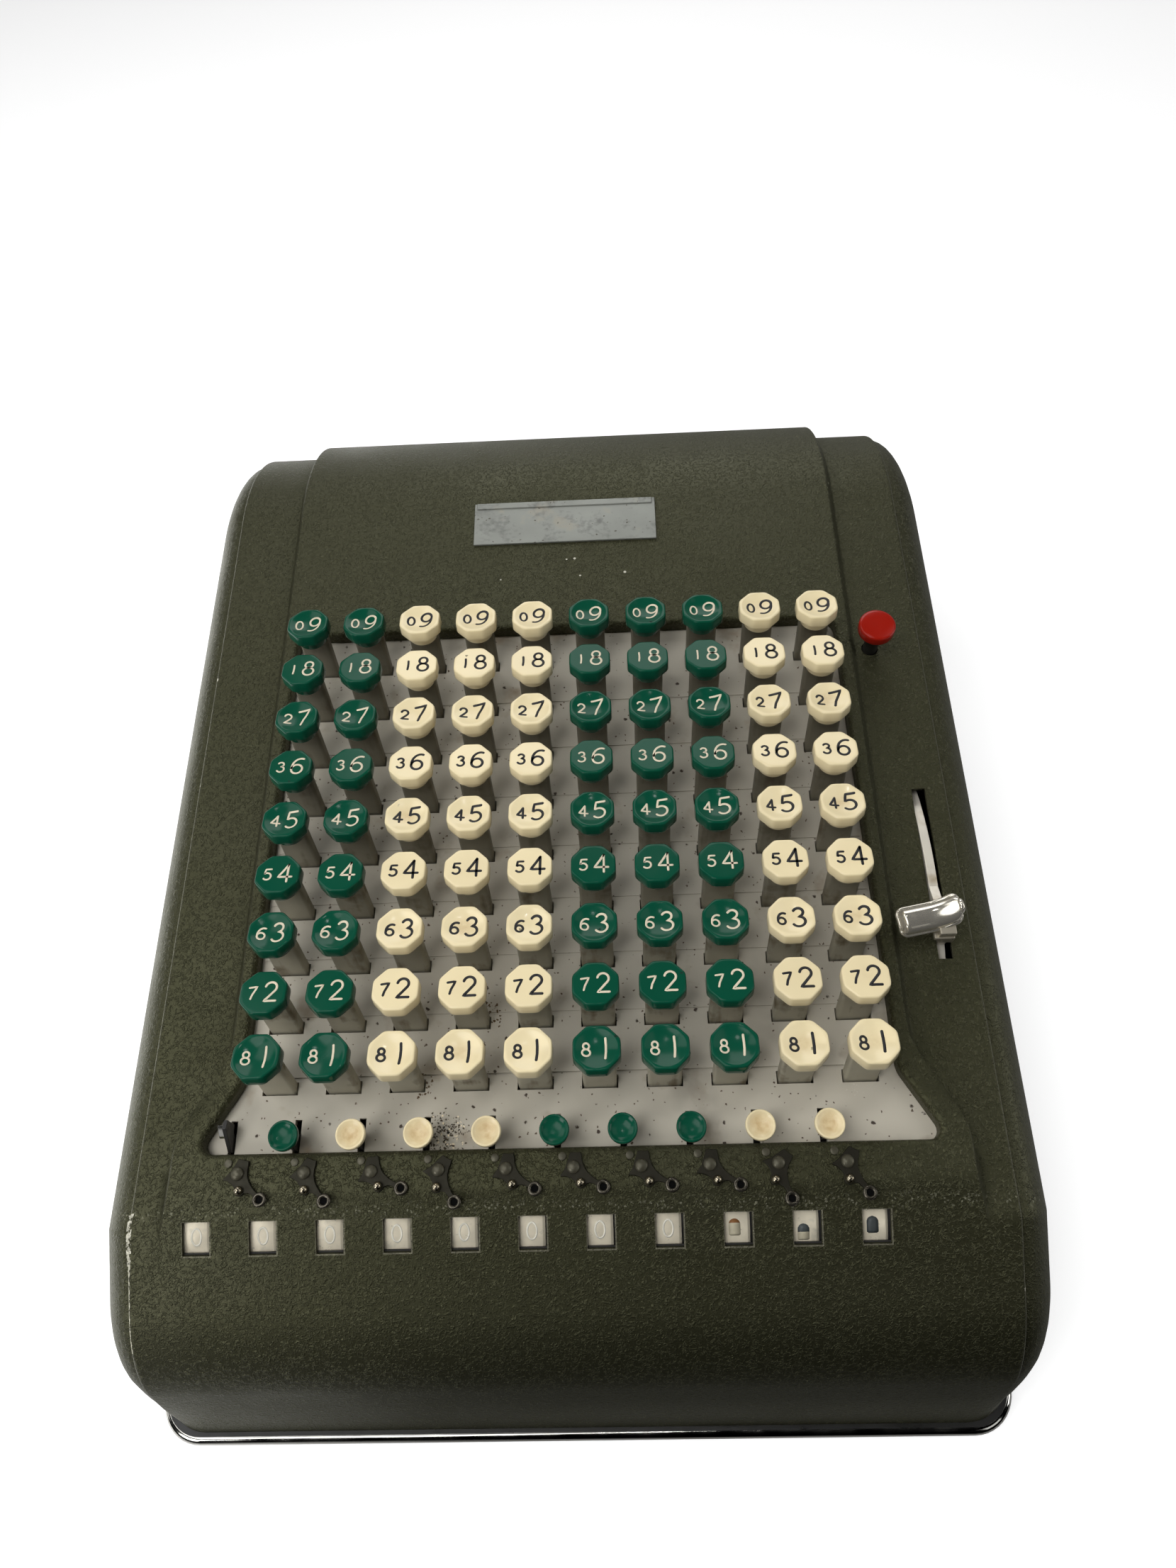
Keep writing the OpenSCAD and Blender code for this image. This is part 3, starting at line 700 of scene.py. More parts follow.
button_profile = [(0, -1.05), (1.0, -1.0), (2.0, -0.82), (2.8, -0.55), (3.3, -0.28), (3.55, -0.06), (3.75, 0.05),
                  (3.98, 0.02), (4.14, -0.14), (4.2, -0.45), (4.2, -1.7), (4.05, -2.35), (3.6, -2.6), (2.2, -2.7),
                  (2.2, -4.2), (0, -4.2)]
for column, column_x in enumerate(column_offsets(5), 1):
    body = f"cutoff_lever_{column}"
    blade_x = column_x / MM - BLADE_OFFSET
    blade_outline = [(-93.8, -57), (-86.6, -57), (-90.0, -32)]
    if column == 1:
        blade_outline += [(-90, -24.4), (-87.2, -24), (-86.9, -17.8), (-89.4, -17.2), (-94.9, -24.4)]
    else:
        blade_outline += [(-90, -23), (-91, -14.4), (-94, -14.4), (-94.9, -23.2)]
    blade_outline.append((-94.9, -32))
    shape = extruded(blade_outline, blade_x - BLADE_W / 2, blade_x + BLADE_W / 2, deck_matrix @ SIDE_VIEW)
    blade = make_piece(f"blade_{column}", shape, black_steel, body, 25)
    soften_edges(blade, 0.15)
    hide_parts(body)
    if column == 1:
        tab_outline = [(-88.8, -18.4), (-88.4, -17.6), (-91.2, -20.2), (-91.6, -20.8)]
        tab_shape = extruded(tab_outline, blade_x - 2.2, blade_x - BLADE_W / 2, deck_matrix @ SIDE_VIEW)
        soften_edges(make_piece("bent_tab", tab_shape, strip_chrome, body, 25), 0.12)
        continue
    place = deck_matrix @ shift(blade_x, BUTTON_Y, BUTTON_TOP)
    plastic, slot, worn = ((green_plastic, "green_plastic", 0.4) if column in GREEN_COLUMNS
                           else (cream_plastic, "key_plastic", 1.25))
    button = make_piece(f"button_{column}", turned_shape(button_profile, 48, place), plastic, body, 50)
    store_values(button, "wear", [worn * math.exp(-((vertex.co - place.translation).length / MM / 3.1) ** 4)
                                  for vertex in button.data.vertices])

# Hood: one deep pressing in sheet steel, stoved in olive wrinkle enamel, with a turned-down lip at the opening.
# The paint is worn to bare metal along the left front crease, and chipped in a few places. Shade on the front roll,
# on the window walls and beside the raised middle is painted into the enamel, and so are highlights on the wrinkle
# crests and the creases.
CREASE = 125.0
HOOD_HALF = 140.0
HOOD_FOOT = 11.0
HOOD_METAL = 1.2
SHOULDER = -24.5
RAISED = -20.0
FACE_ANGLE = math.radians(24.3)
RIDGE_Y = -106.5
WINDOW_Y = -118.1
WINDOW_LEVEL = RAISED + (WINDOW_Y - RIDGE_Y) * math.tan(FACE_ANGLE)
COLUMN_PITCH = 19.05
CHEEK_DROP = 34.0
CHEEK_STEP = 1.6
BACK_WALL = 181.8
FLARE_TOP = 40.0
FLARE_X = 105.0
FOOT_HALF = 132.4
FOOT_CORNER = 14.0
FOOT_STRAIGHT = FOOT_HALF - FOOT_CORNER - FLARE_X
FOOT_QUARTER = math.pi / 2 * FOOT_CORNER
STEP_HALF = 1.5
LIP_ROUND = 1.8
WINDOW_HALF_W = 3.9
WINDOW_HALF_H = 4.7
CLEAR_SLOT = (113.7, -42.9, 118.1, 15.0)
RELEASE_AT = (107.3, 70.2)
RELEASE_HOLE_R = 2.9
FRONT_HEIGHTS = [11.0, 12.5, 15.0, 18.0, 21.5, 25.5, 30.0, 35.0, 40.0]
OPENING = [(107.5, -95.9, 3.0), (95.8, -76.0, 9.0), (95.4, 81.5, 4.0), (-95.4, 81.5, 4.0), (-95.8, -76.0, 9.0),
           (-107.5, -95.9, 3.0)]


def to_world(y, z):
    """Deck (y, z) to world (y, z), in millimetres."""
    return (deck_origin.y / MM + y * math.cos(DECK_SLOPE) - z * math.sin(DECK_SLOPE),
            deck_origin.z / MM + y * math.sin(DECK_SLOPE) + z * math.cos(DECK_SLOPE))


def to_deck(y, z):
    """World (y, z) to deck (y, z), in millimetres."""
    away = y - deck_origin.y / MM
    rise = z - deck_origin.z / MM
    return (away * math.cos(DECK_SLOPE) + rise * math.sin(DECK_SLOPE),
            -away * math.sin(DECK_SLOPE) + rise * math.cos(DECK_SLOPE))


def unit(vector):
    """A vector drawn to length 1."""
    return vector / np.linalg.norm(vector)


def corner_arc(before, corner, after, radius, steps):
    """Points on the round of a corner, from one tangent to the other."""
    u = unit(before - corner)
    v = unit(after - corner)
    half = math.acos(max(-1.0, min(1.0, float(u @ v)))) / 2
    centre = corner + unit(u + v) * radius / math.sin(half)
    start = corner + u * radius / math.tan(half) - centre
    turn = corner - before
    side = 1 if turn[0] * (after - corner)[1] - turn[1] * (after - corner)[0] > 0 else -1
    sweep = math.pi - 2 * half
    angles = [side * sweep * step / steps for step in range(steps + 1)]
    return [centre + np.array([start[0] * math.cos(a) - start[1] * math.sin(a),
                               start[0] * math.sin(a) + start[1] * math.cos(a)]) for a in angles]


def shifted_corner(corners, k, distance):
    """A corner of a closed outline once its sides have moved sideways by a distance, and how sharply it bends."""
    before, here, after = (np.array(corners[(k + step) % len(corners)][:2]) for step in (-1, 0, 1))
    first = unit(here - before)
    second = unit(after - here)
    normals = np.array([first[1], -first[0]]) + np.array([second[1], -second[0]])
    return here + normals * distance / (1 + first @ second), first[0] * second[1] - first[1] * second[0]


def hood_corners(level, inset):
    """Corners of the hood's side view on the deck and their radii, from the front foot over the top to the back."""
    knee_y = 171.7 + (level - SHOULDER) * math.tan(math.radians(25.0))
    knee = to_world(knee_y, level)
    low_z = knee[1] - (BACK_WALL - knee[0]) * math.tan(math.radians(39.0))
    corners = [(-183.3, -130.0, 1.0), (-152.8, -40.9, 39.0),
               (RIDGE_Y + (level - RAISED) / math.tan(FACE_ANGLE), level, 8.0),
               (knee_y, level, 68.0 + level - SHOULDER), (*to_deck(BACK_WALL, low_z), 32.0),
               (*to_deck(BACK_WALL, -30.0), 1.0)]
    return [(shifted_corner(corners, k, inset)[0], max(2.0, corner[2] - inset)) for k, corner in enumerate(corners)]


def at_height(start, end, height):
    """Where a deck line reaches a world height."""
    low = to_world(*start)
    high = to_world(*end)
    share = (height - low[1]) / (high[1] - low[1])
    return start + (end - start) * share


def hood_profile(level, inset):
    """Side view of the hood as world (y, z) points, the same number at every level and inset."""
    corners = hood_corners(level, inset)
    places = [corner[0] for corner in corners]
    arcs = [corner_arc(places[k - 1], places[k], places[k + 1], corners[k][1], steps)
            for k, steps in ((1, 22), (2, 8), (3, 24), (4, 12))]
    front = [at_height(places[0], places[1], height) for height in FRONT_HEIGHTS]
    front.append(front[-1] + (arcs[0][0] - front[-1]) * 0.5)
    face = [arcs[0][-1] + (arcs[1][0] - arcs[0][-1]) * k / 12 for k in range(1, 12)]
    shares = [0.006 * k for k in range(1, 30)] + [0.174 + 0.826 * k / 28 for k in range(1, 28)]
    top = [arcs[1][-1] + (arcs[2][0] - arcs[1][-1]) * share for share in shares]
    slope = [arcs[2][-1] + (arcs[3][0] - arcs[2][-1]) * k / 3 for k in range(1, 3)]
    back = [at_height(places[5], places[4], height) for height in FRONT_HEIGHTS]
    back.append(back[-1] + (arcs[3][-1] - back[-1]) * 0.5)
    line = front + arcs[0] + face + arcs[1] + top + arcs[2] + slope + arcs[3] + back[::-1]
    return np.array([to_world(y, z) for y, z in line])


def smooth_step(value):
    """0 below nought, 1 above one, and an easy curve between."""
    share = min(1.0, max(0.0, value))
    return share * share * (3 - 2 * share)


def raised_half_width(deck_y):
    """Half the width of the raised middle: straight beside the keys, flared in front of them."""
    knots_y = [-99.0, -96.0, -92.0, -88.0, -84.0, -80.0, -76.0, -71.0, -64.0]
    knots_x = [114.5, 114.0, 112.4, 110.3, 107.9, 105.6, 103.5, 101.7, 101.0]
    return float(np.interp(deck_y, knots_y, knots_x))


def foot_outline(distance, front, direction):
    """A point on the rounded outline of the hood's foot, at a distance along it from where the flare begins."""
    if distance <= FOOT_STRAIGHT:
        return FLARE_X + distance, front
    if distance <= FOOT_STRAIGHT + FOOT_QUARTER:
        angle = (distance - FOOT_STRAIGHT) / FOOT_CORNER
        return (FOOT_HALF - FOOT_CORNER + FOOT_CORNER * math.sin(angle),
                front + direction * FOOT_CORNER * (1 - math.cos(angle)))
    return FOOT_HALF, front + direction * (FOOT_CORNER + distance - FOOT_STRAIGHT - FOOT_QUARTER)


def flare(half_columns):
    """Draws the lowest part of the skin out, or in, to the rounded outline of the hood's foot."""
    to_corner = FOOT_STRAIGHT + FOOT_QUARTER / 2
    reach = CHEEK_STEP + CHEEK_DROP
    fronts = half_columns[0][:, 1]
    for column in half_columns:
        for k, (x, y, z) in enumerate(column):
            if z > FLARE_TOP - 0.01 or x < FLARE_X:
                continue
            direction = 1 if k < len(column) / 2 else -1
            if x <= CREASE + 0.3:
                distance = (x - FLARE_X) / (CREASE + 0.2 - FLARE_X) * to_corner
            else:
                inset = (y - fronts[k]) * direction
                distance = to_corner + (reach - FOOT_CORNER + FOOT_QUARTER / 2) * inset / reach
            target = foot_outline(distance, fronts[k], direction)
            share = ((FLARE_TOP - z) / (FLARE_TOP - HOOD_FOOT)) ** 1.7
            column[k] = (x + (target[0] - x) * share, y + (target[1] - y) * share, z)


def column_at(x, line):
    """One column of the skin: a side view at one x, or at an x for each point."""
    return np.column_stack([np.broadcast_to(x, len(line)), line])


def build_hood():
    """Points and faces of the hood's outer skin, in metres."""
    shoulder_line = hood_profile(SHOULDER, 0.0)
    raised_line = hood_profile(RAISED, 0.0)
    edges = np.array([raised_half_width(to_deck(*middle)[0]) for middle in (shoulder_line + raised_line) / 2])
    half_columns = [column_at(x, raised_line) for x in (0.0, 22.0, 44.0, 66.0, 84.0, 92.0)]
    for offset in [STEP_HALF * k / 5 for k in range(-6, 7)]:
        share = smooth_step(0.5 + offset / (2 * STEP_HALF))
        half_columns.append(column_at(edges + offset, raised_line * (1 - share) + shoulder_line * share))
    step_foot = edges + 1.2 * STEP_HALF
    for share in (0.25, 0.5, 0.75, 1.0):
        half_columns.append(column_at(step_foot + (123.4 - step_foot) * share, shoulder_line))
    sides = [(124.0, 0.0), (124.5, 0.12), (124.85, 0.45), (125.05, 0.95), (125.2, CHEEK_STEP)]
    sides += [(CREASE + (HOOD_HALF - CREASE) * math.sin(math.radians(turn)),
               CHEEK_STEP + CHEEK_DROP * (1 - math.cos(math.radians(turn)))) for turn in (*range(7, 85, 7), 90)]
    half_columns += [column_at(x, hood_profile(SHOULDER, inset)) for x, inset in sides]
    flare(half_columns)
    columns = [column * (-1, 1, 1) for column in half_columns[:0:-1]] + half_columns
    points = [tuple(point) for column in columns for point in column]
    count = len(shoulder_line)
    faces = []
    for c in range(len(columns) - 1):
        for k in range(count - 1):
            a = c * count + k
            faces.append((a, a + count, a + count + 1, a + 1))
    low = len(FRONT_HEIGHTS)
    wall_columns = 16
    for side, first in ((-1, 0), (1, (len(columns) - 1) * count)):
        walls = []
        grid = []
        for row in range(low):
            start = np.array(points[first + row])
            end = np.array(points[first + count - 1 - row])
            inner = range(len(points), len(points) + wall_columns - 1)
            points += [tuple(start + (end - start) * step / wall_columns) for step in range(1, wall_columns)]
            grid.append([first + row, *inner, first + count - 1 - row])
        for lower, upper in zip(grid, grid[1:]):
            walls += [(lower[step], lower[step + 1], upper[step + 1], upper[step]) for step in range(wall_columns)]
        walls.append(tuple(grid[-1] + [first + k for k in range(count - low - 1, low - 1, -1)]))
        faces += walls if side > 0 else [wall[::-1] for wall in walls]
    return [Vector(point) * MM for point in points], faces


def rounded_outline(corners, grow, steps=6):
    """A closed outline of (x, y, radius) corners, grown outwards by a distance."""
    line = []
    for k, corner in enumerate(corners):
        place, bend = shifted_corner(corners, k, grow)
        line.append((place, max(0.3, corner[2] + (grow if bend > 0 else -grow))))
    return [point for k, (place, radius) in enumerate(line)
            for point in corner_arc(line[k - 1][0], place, line[(k + 1) % len(line)][0], radius, steps)]


def rectangle(low_x, low_y, high_x, high_y):
    """Corners of a rectangle, anticlockwise."""
    return [(low_x, low_y), (high_x, low_y), (high_x, high_y), (low_x, high_y)]


def window_blocks(outline, low, high):
    """A block at every window, placed from its middle and square to the slanting face."""
    places = [shift(joint_of[f"register_wheel_{wheel}"]["pos_m"][0] / MM, WINDOW_Y, WINDOW_LEVEL)
              for wheel in range(1, 12)]
    return [extruded(outline, low, high, deck_matrix @ place @ Matrix.Rotation(FACE_ANGLE, 4, "X"))
            for place in places]


def build_wrinkle_group():
    """Wrinkle enamel: short wandering ridges over a fine pebble, as a height and a mask of the crests."""
    group, given, result = shader_group("wrinkle enamel", {"Scale": 880.0}, {"Height": float, "Crest": float})
    place = object_place(group)
    folds = noise(group, given["Scale"], 1.5, place, 0.6)
    off_fold = arithmetic(group, "ABSOLUTE", arithmetic(group, "SUBTRACT", folds, 0.5))
    kept = ramp(group, noise(group, 700.0, 1.0, place), 0.36, 0.60)
    crest = product(group, ramp(group, off_fold, 0.085, 0.0), kept)
    height = arithmetic(group, "MULTIPLY_ADD", noise(group, 1900.0, 2.0, place), 0.4, crest)
    group.links.new(height, result["Height"])
    group.links.new(crest, result["Crest"])
    return group


def spot_at(finish, centre, radius, ragged):
    """Mask of one ragged patch round a point in metres."""
    uneven = arithmetic(finish, "MULTIPLY_ADD", noise(finish, 700.0, 4.0), 2 * ragged * radius,
                        distance_from(finish, centre))
    return ramp(finish, uneven, radius * (1.0 + ragged), radius * (0.75 + ragged))


def closeness(finish, distance, reach):
    """1 where a distance is nought, falling to 0 at the reach on both sides."""
    return ramp(finish, arithmetic(finish, "ABSOLUTE", distance), reach, 0.0)


def within(finish, distance, reach):
    """1 where a distance is less than the reach on both sides, or else 0."""
    return arithmetic(finish, "LESS_THAN", arithmetic(finish, "ABSOLUTE", distance), reach)


def crease_wear(finish):
    """Mask of the thin broken line of bare metal on the left front crease."""
    lengthwise = along(finish, BACK, (0.0, -0.1520, 0.0))
    width = ramp(finish, lengthwise, 0.0, 0.0065, 0.0005, 0.0011)
    flakes = arithmetic(finish, "SUBTRACT", noise(finish, 900.0, 4.0), 0.37)
    ragged = arithmetic(finish, "MULTIPLY", flakes, 7.0, clamp=True)
    near = within(finish, along(finish, RIGHT, (-0.1249, 0.0, 0.0)), product(finish, width, ragged))
    return product(finish, near, within(finish, lengthwise, 0.0160))


def window_rims(finish):
    """Masks of the rubbed paint round the windows, and of the painted shade that darkens their inner walls."""
    face_y, face_z = to_world(WINDOW_Y, WINDOW_LEVEL)
    middle = (joint_of["register_wheel_6"]["pos_m"][0], face_y * MM, face_z * MM)
    sideways = along(finish, RIGHT, middle)
    up_face = along(finish, (0.0, math.cos(FACE_TILT), math.sin(FACE_TILT)), middle)
    off_face = along(finish, (0.0, -math.sin(FACE_TILT), math.cos(FACE_TILT)), middle)
    pitch = COLUMN_PITCH * MM
    turn = arithmetic(finish, "DIVIDE", arithmetic(finish, "ADD", sideways, 5.5 * pitch), pitch)
    share = arithmetic(finish, "SUBTRACT", arithmetic(finish, "FRACT", turn), 0.5)
    beside = arithmetic(finish, "SUBTRACT", product(finish, share, pitch), 0.15 * MM)
    raised = arithmetic(finish, "ADD", up_face, 0.15 * MM)
    out_x = arithmetic(finish, "SUBTRACT", arithmetic(finish, "ABSOLUTE", beside), (WINDOW_HALF_W + 0.08) * MM)
    out_y = arithmetic(finish, "SUBTRACT", arithmetic(finish, "ABSOLUTE", raised), (WINDOW_HALF_H + 0.08) * MM)
    outside = arithmetic(finish, "MAXIMUM", out_x, out_y)
    on_face = product(finish, within(finish, off_face, 1.5 * MM), within(finish, sideways, 5.4 * pitch))
    top_side = arithmetic(finish, "GREATER_THAN", off_face, -0.22 * MM)
    near_hole = arithmetic(finish, "LESS_THAN", outside, 0.4 * MM)
    rubbed = product(finish, closeness(finish, outside, 0.28 * MM), on_face, 0.7, top_side)
    return rubbed, product(finish, arithmetic(finish, "SUBTRACT", 1.0, top_side), on_face, near_hole)


def unfaded_roll(finish):
    """Mask of the front roll from its middle to its right, where painted shade darkens the enamel."""
    height = along(finish, UP)
    above = ramp(finish, height, 0.020, 0.040, easing="SMOOTHSTEP")
    below = ramp(finish, height, 0.092, 0.060, easing="SMOOTHSTEP")
    rightwards = ramp(finish, along(finish, RIGHT), -0.085, -0.010, easing="SMOOTHSTEP")
    front = arithmetic(finish, "LESS_THAN", along(finish, BACK), -0.140)
    return product(finish, above, below, rightwards, front, 0.9)


def wrinkle_enamel():
    """Olive wrinkle enamel with crests lightened as painted highlight, rubbed window rims, creases lightened as
    painted highlight and rubbed paint, wear on the left crease, a few chips, and painted shade on the front roll, on
    the window walls and beside the raised middle.
    """
    finish = uneven_finish("olive enamel", (0.0070, 0.0066, 0.0026), 0.10, 14.0, 0.51, 0.06, specular=0.86,
                           tint=(0.98, 0.985, 0.57))
    wrinkle = shader_node(finish, "Group", node_tree=build_wrinkle_group()).outputs
    lay_over(finish, blotches(finish, 11.0, 0.50, 0.72), (0.013, 0.0125, 0.008), 0.50)
    # Painted highlight: the wrinkle crests lightened, as though catching light
    lay_over(finish, wrinkle["Crest"], (0.038, 0.0375, 0.0215), 0.45)
    # Painted shade: the front roll darkened from its middle to its right
    lay_over(finish, unfaded_roll(finish), (0.0030, 0.0030, 0.0013), 0.60)
    set_bump(finish, wrinkle["Height"], 0.00027)
    up_deck = along(finish, (0.0, math.cos(DECK_SLOPE), math.sin(DECK_SLOPE)), on_deck(0.0, -111.6, RAISED))
    flecks = specks(finish, 1100.0, 0.42, 0.40)
    lay_over(finish, product(finish, closeness(finish, up_deck, 2.6 * MM), flecks, 0.8), (0.17, 0.167, 0.125), 0.45)
    # Painted highlight and rubbed paint: a lighter line along both creases, where the edge catches light
    for side in (-1.0, 1.0):
        crease_highlight_and_rub = closeness(finish, along(finish, RIGHT, (side * 0.12485, 0.0, 0.0)), 0.36 * MM)
        lay_over(finish, product(finish, crease_highlight_and_rub, 0.6), (0.19, 0.183, 0.145), 0.4)
    rubbed_rims, painted_wall_shade = window_rims(finish)
    lay_over(finish, rubbed_rims, (0.24, 0.225, 0.175), 0.45, 0.2)
    # Painted shade: the windows' inner walls darkened nearly to black
    lay_over(finish, painted_wall_shade, (0.002, 0.002, 0.002), 0.95)
    lay_over(finish, crease_wear(finish), (0.56, 0.54, 0.46), 0.42, 0.4)
    chips = [(Vector((-137.2, 97.4, 114.5)) * MM, 1.3), (Vector((-125.0, 39.0, 120.6)) * MM, 0.8),
             (Vector((-125.0, -2.4, 112.5)) * MM, 0.4), (Vector((124.9, -157.0, 73.8)) * MM, 0.7)]
    chips += [(on_deck(x, y, RAISED), size) for x, y, size in (
        (1.1, 111.1, 0.35), (4.0, 111.3, 0.45), (6.0, 103.5, 0.4), (22.3, 104.3, 0.5), (-23.1, 103.0, 0.35))]
    for chip_place, chip_size in chips:
        lay_over(finish, spot_at(finish, chip_place, chip_size * MM, 0.6), (0.60, 0.58, 0.50), 0.45, 0.3)
    lay_over(finish, specks(finish, 60.0, 0.035, 0.10), (0.40, 0.38, 0.30), 0.6)
    # Grime and painted shade in the fold beside the raised middle, from the stored fold values
    grime_and_shade = shader_node(finish, "Attribute", attribute_name="fold")
    lay_over(finish, grime_and_shade.outputs["Fac"], (0.0015, 0.0015, 0.0008), 0.85)
    return finish


olive_enamel = wrinkle_enamel()
hood_skin = plain_mesh("hood_skin", build_hood())
give_thickness(hood_skin, HOOD_METAL)
cutters = [extruded(rounded_outline(OPENING, LIP_ROUND), -45.0, 15.0)]
cutters += window_blocks(rectangle(-WINDOW_HALF_W, -WINDOW_HALF_H, WINDOW_HALF_W, WINDOW_HALF_H), -6.0, 6.0)
cutters.append(extruded(rectangle(*CLEAR_SLOT), -40.0, -12.0))
cutters.append(extruded(arc(*RELEASE_AT, RELEASE_HOLE_R, RELEASE_HOLE_R, 0, 345, 23), -40.0, -12.0))
cutter = plain_mesh("hood_cutter", gathered(cutters))
cut = hood_skin.modifiers.new("openings", "BOOLEAN")
cut.operation = "DIFFERENCE"
cut.solver = "EXACT"
cut.object = cutter
bpy.context.view_layer.update()
cut_mesh = bpy.data.meshes.new_from_object(hood_skin.evaluated_get(bpy.context.evaluated_depsgraph_get()))
bpy.data.objects.remove(cutter)
bpy.data.objects.remove(hood_skin)
cut_shape = ([vertex.co.copy() for vertex in cut_mesh.vertices], [tuple(face.vertices) for face in cut_mesh.polygons])


def lip_shape():
    """The rounded lip of the key opening: a quarter round, then a flange down towards the panel."""
    section = [(LIP_ROUND + 0.15, RAISED - 0.04)]
    section += [(LIP_ROUND + x, RAISED - LIP_ROUND + z) for x, z in arc(0, 0, LIP_ROUND, LIP_ROUND, 90, 180, 6)]
    section += [(0.0, PANEL_LEVEL + 0.5), (0.3, PANEL_LEVEL + 0.3), (1.4, PANEL_LEVEL + 0.3), (1.4, RAISED - 2.0)]
    points, faces = tube_shape([[on_deck(x, y, z) for x, y in rounded_outline(OPENING, grow)] for grow, z in section])
    return points, [(a, d, c, b) for a, b, c, d in faces]


# Painted shade: a dark strip at the foot of each window stands in for the shadow gap below the dial
shadow_sills = make_piece("window_shadow_strips", gathered(window_blocks(rectangle(-4.4, -5.8, 4.4, -4.3), -1.9, -1.15)),
                   drum_black, "case", 25)
soften_edges(shadow_sills, 0.15)
hood = make_piece("hood_shell", gathered([cut_shape, lip_shape()]), olive_enamel, "case", 32)
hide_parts("hood")
# Grime and painted shade lie in the fold beside the raised middle, and thin out down the slanting face and towards
# the back
fold = []
for vertex in hood.data.vertices:
    deck_y, deck_z = to_deck(vertex.co.y / MM, vertex.co.z / MM)
    beyond = abs(vertex.co.x) / MM - raised_half_width(deck_y) - 1.3
    fade = smooth_step((deck_y + 122.0) / 14.0) * (1.0 - 0.7 * smooth_step((deck_y + 90.0) / 30.0))
    fold.append(0.85 * fade * math.exp(-(beyond / 0.75) ** 2) if deck_z > -45.0 else 0.0)
store_values(hood, "fold", fold)

# Decimal pointers: small blackened stampings that swing on a domed rivet, one beside each window.
# Each has a shiny finger ball, an eyelet at its tip whose hole is a black disc of painted shade, and a fixed rivet in
# the hood beside it.
POINTER_METAL = 0.9
POINTER_ARM = 9.8
EYELET_R = 1.48
EYELET_WIRE = 0.55
BALL_R = 1.25
REST_ANGLES = [-45, -51, -28, -61, -34, -33, -32, -34, -73, -58]
# The notched flag round the rivet and the curved arm out to the eyelet, over one side and back by the other
POINTER_OUTLINE = [(8.4, 0.75), (7.0, 0.62), (5.4, 0.72), (3.8, 1.05), (2.4, 1.7), (1.2, 2.7), (0.4, 3.7),
                   (-0.5, 4.5), (-1.2, 3.9), (-3.0, 2.9), (-2.4, 0.6), (-1.9, -1.4), (-1.9, -4.1), (-0.6, -3.3),
                   (0.8, -2.9), (2.4, -3.0), (3.0, -3.75), (3.9, -4.0), (4.8, -3.75), (5.35, -2.9), (5.4, -1.9),
                   (6.2, -1.1), (7.2, -0.75), (8.4, -0.75)]
pointer_black = uneven_finish("pointer black", (0.009, 0.008, 0.006), 0.2, 200.0, 0.5, 0.1, 1500.0, 0.00001,
                              specular=0.32, tint=(1.0, 0.96, 0.72))
rivet_steel = uneven_finish("rivet steel", (0.088, 0.082, 0.056), 0.2, 300.0, 0.40, 0.1, 2000.0, 0.00001, 0.55)
ball_steel = uneven_finish("ball steel", (0.42, 0.37, 0.27), 0.2, 300.0, 0.24, 0.08, 2000.0, 0.000004, 1.0)
eyelet_steel = uneven_finish("eyelet steel", (0.10, 0.09, 0.07), 0.2, 300.0, 0.26, 0.1, 2000.0, 0.00001, 0.85)
# Painted shade: a black disc stands for the dark inside of each eyelet
eyelet_hole_shade = uneven_finish("hole black", (0.003, 0.003, 0.003), 0.1, 300.0, 0.8, 0.05, specular=0.05)


def eyelet_shape(matrix):
    """The eyelet's small ring of wire, lying flat."""
    section = arc(EYELET_R, 0, EYELET_WIRE, EYELET_WIRE, 0, 360, 8)[:-1]
    return tube_shape([[matrix @ (Vector((reach * math.cos(a), reach * math.sin(a), z)) * MM) for reach, z in section]
                       for a in full_turn(32)])


def dome_profile(radius, height, base):
    """Rings of a low dome on a short cylinder."""
    rings = [(0, base + height)]
    rings += [(radius * math.sin(math.radians(a)), base + height * math.cos(math.radians(a)))
              for a in (18, 36, 52, 66, 78, 90)]
    return rings + [(radius, base - 0.3), (0, base - 0.3)]


ball_profile = arc(0, 0, BALL_R, BALL_R, 90, -90, 12)
hole_profile = [(0, -0.05), (1.2, -0.05), (1.2, -0.45), (0, -0.45)]
fixed_rivets = []
for column in range(1, 11):
    body = f"decimal_pointer_{column}"
    upright = Matrix.Translation(Vector(joint_of[body]["pos_m"])) @ Matrix.Rotation(DECK_SLOPE, 4, "X")
    turned = upright @ Matrix.Rotation(math.radians(REST_ANGLES[column - 1]), 4, "Z")
    tip = turned @ shift(POINTER_ARM, 0.0, EYELET_WIRE)
    ball_place = turned @ shift(3.9, -2.5, POINTER_METAL + 0.75)
    rivet_shape = turned_shape(dome_profile(1.85, 1.1, POINTER_METAL + 0.15), 32, turned)
    for name, shape, finish, smooth_angle in (
            ("flag", extruded(POINTER_OUTLINE, 0.0, POINTER_METAL, turned), pointer_black, 30),
            ("eyelet", eyelet_shape(tip), eyelet_steel, 60),
            ("hole_shade", turned_shape(hole_profile, 24, tip), eyelet_hole_shade, 30), ("rivet", rivet_shape, rivet_steel, 60),
            ("ball", turned_shape(ball_profile, 24, ball_place), ball_steel, 80)):
        piece = make_piece(f"pointer_{name}_{column}", shape, finish, body, smooth_angle)
        if name == "flag":
            soften_edges(piece, 0.18)
            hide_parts(body)
    fixed_rivets.append(turned_shape(dome_profile(1.15, 0.2, 0.2), 24, upright @ shift(-3.2, 3.0, 0.0)))
make_piece("fixed_rivets", gathered(fixed_rivets), rivet_steel, "case", 60)

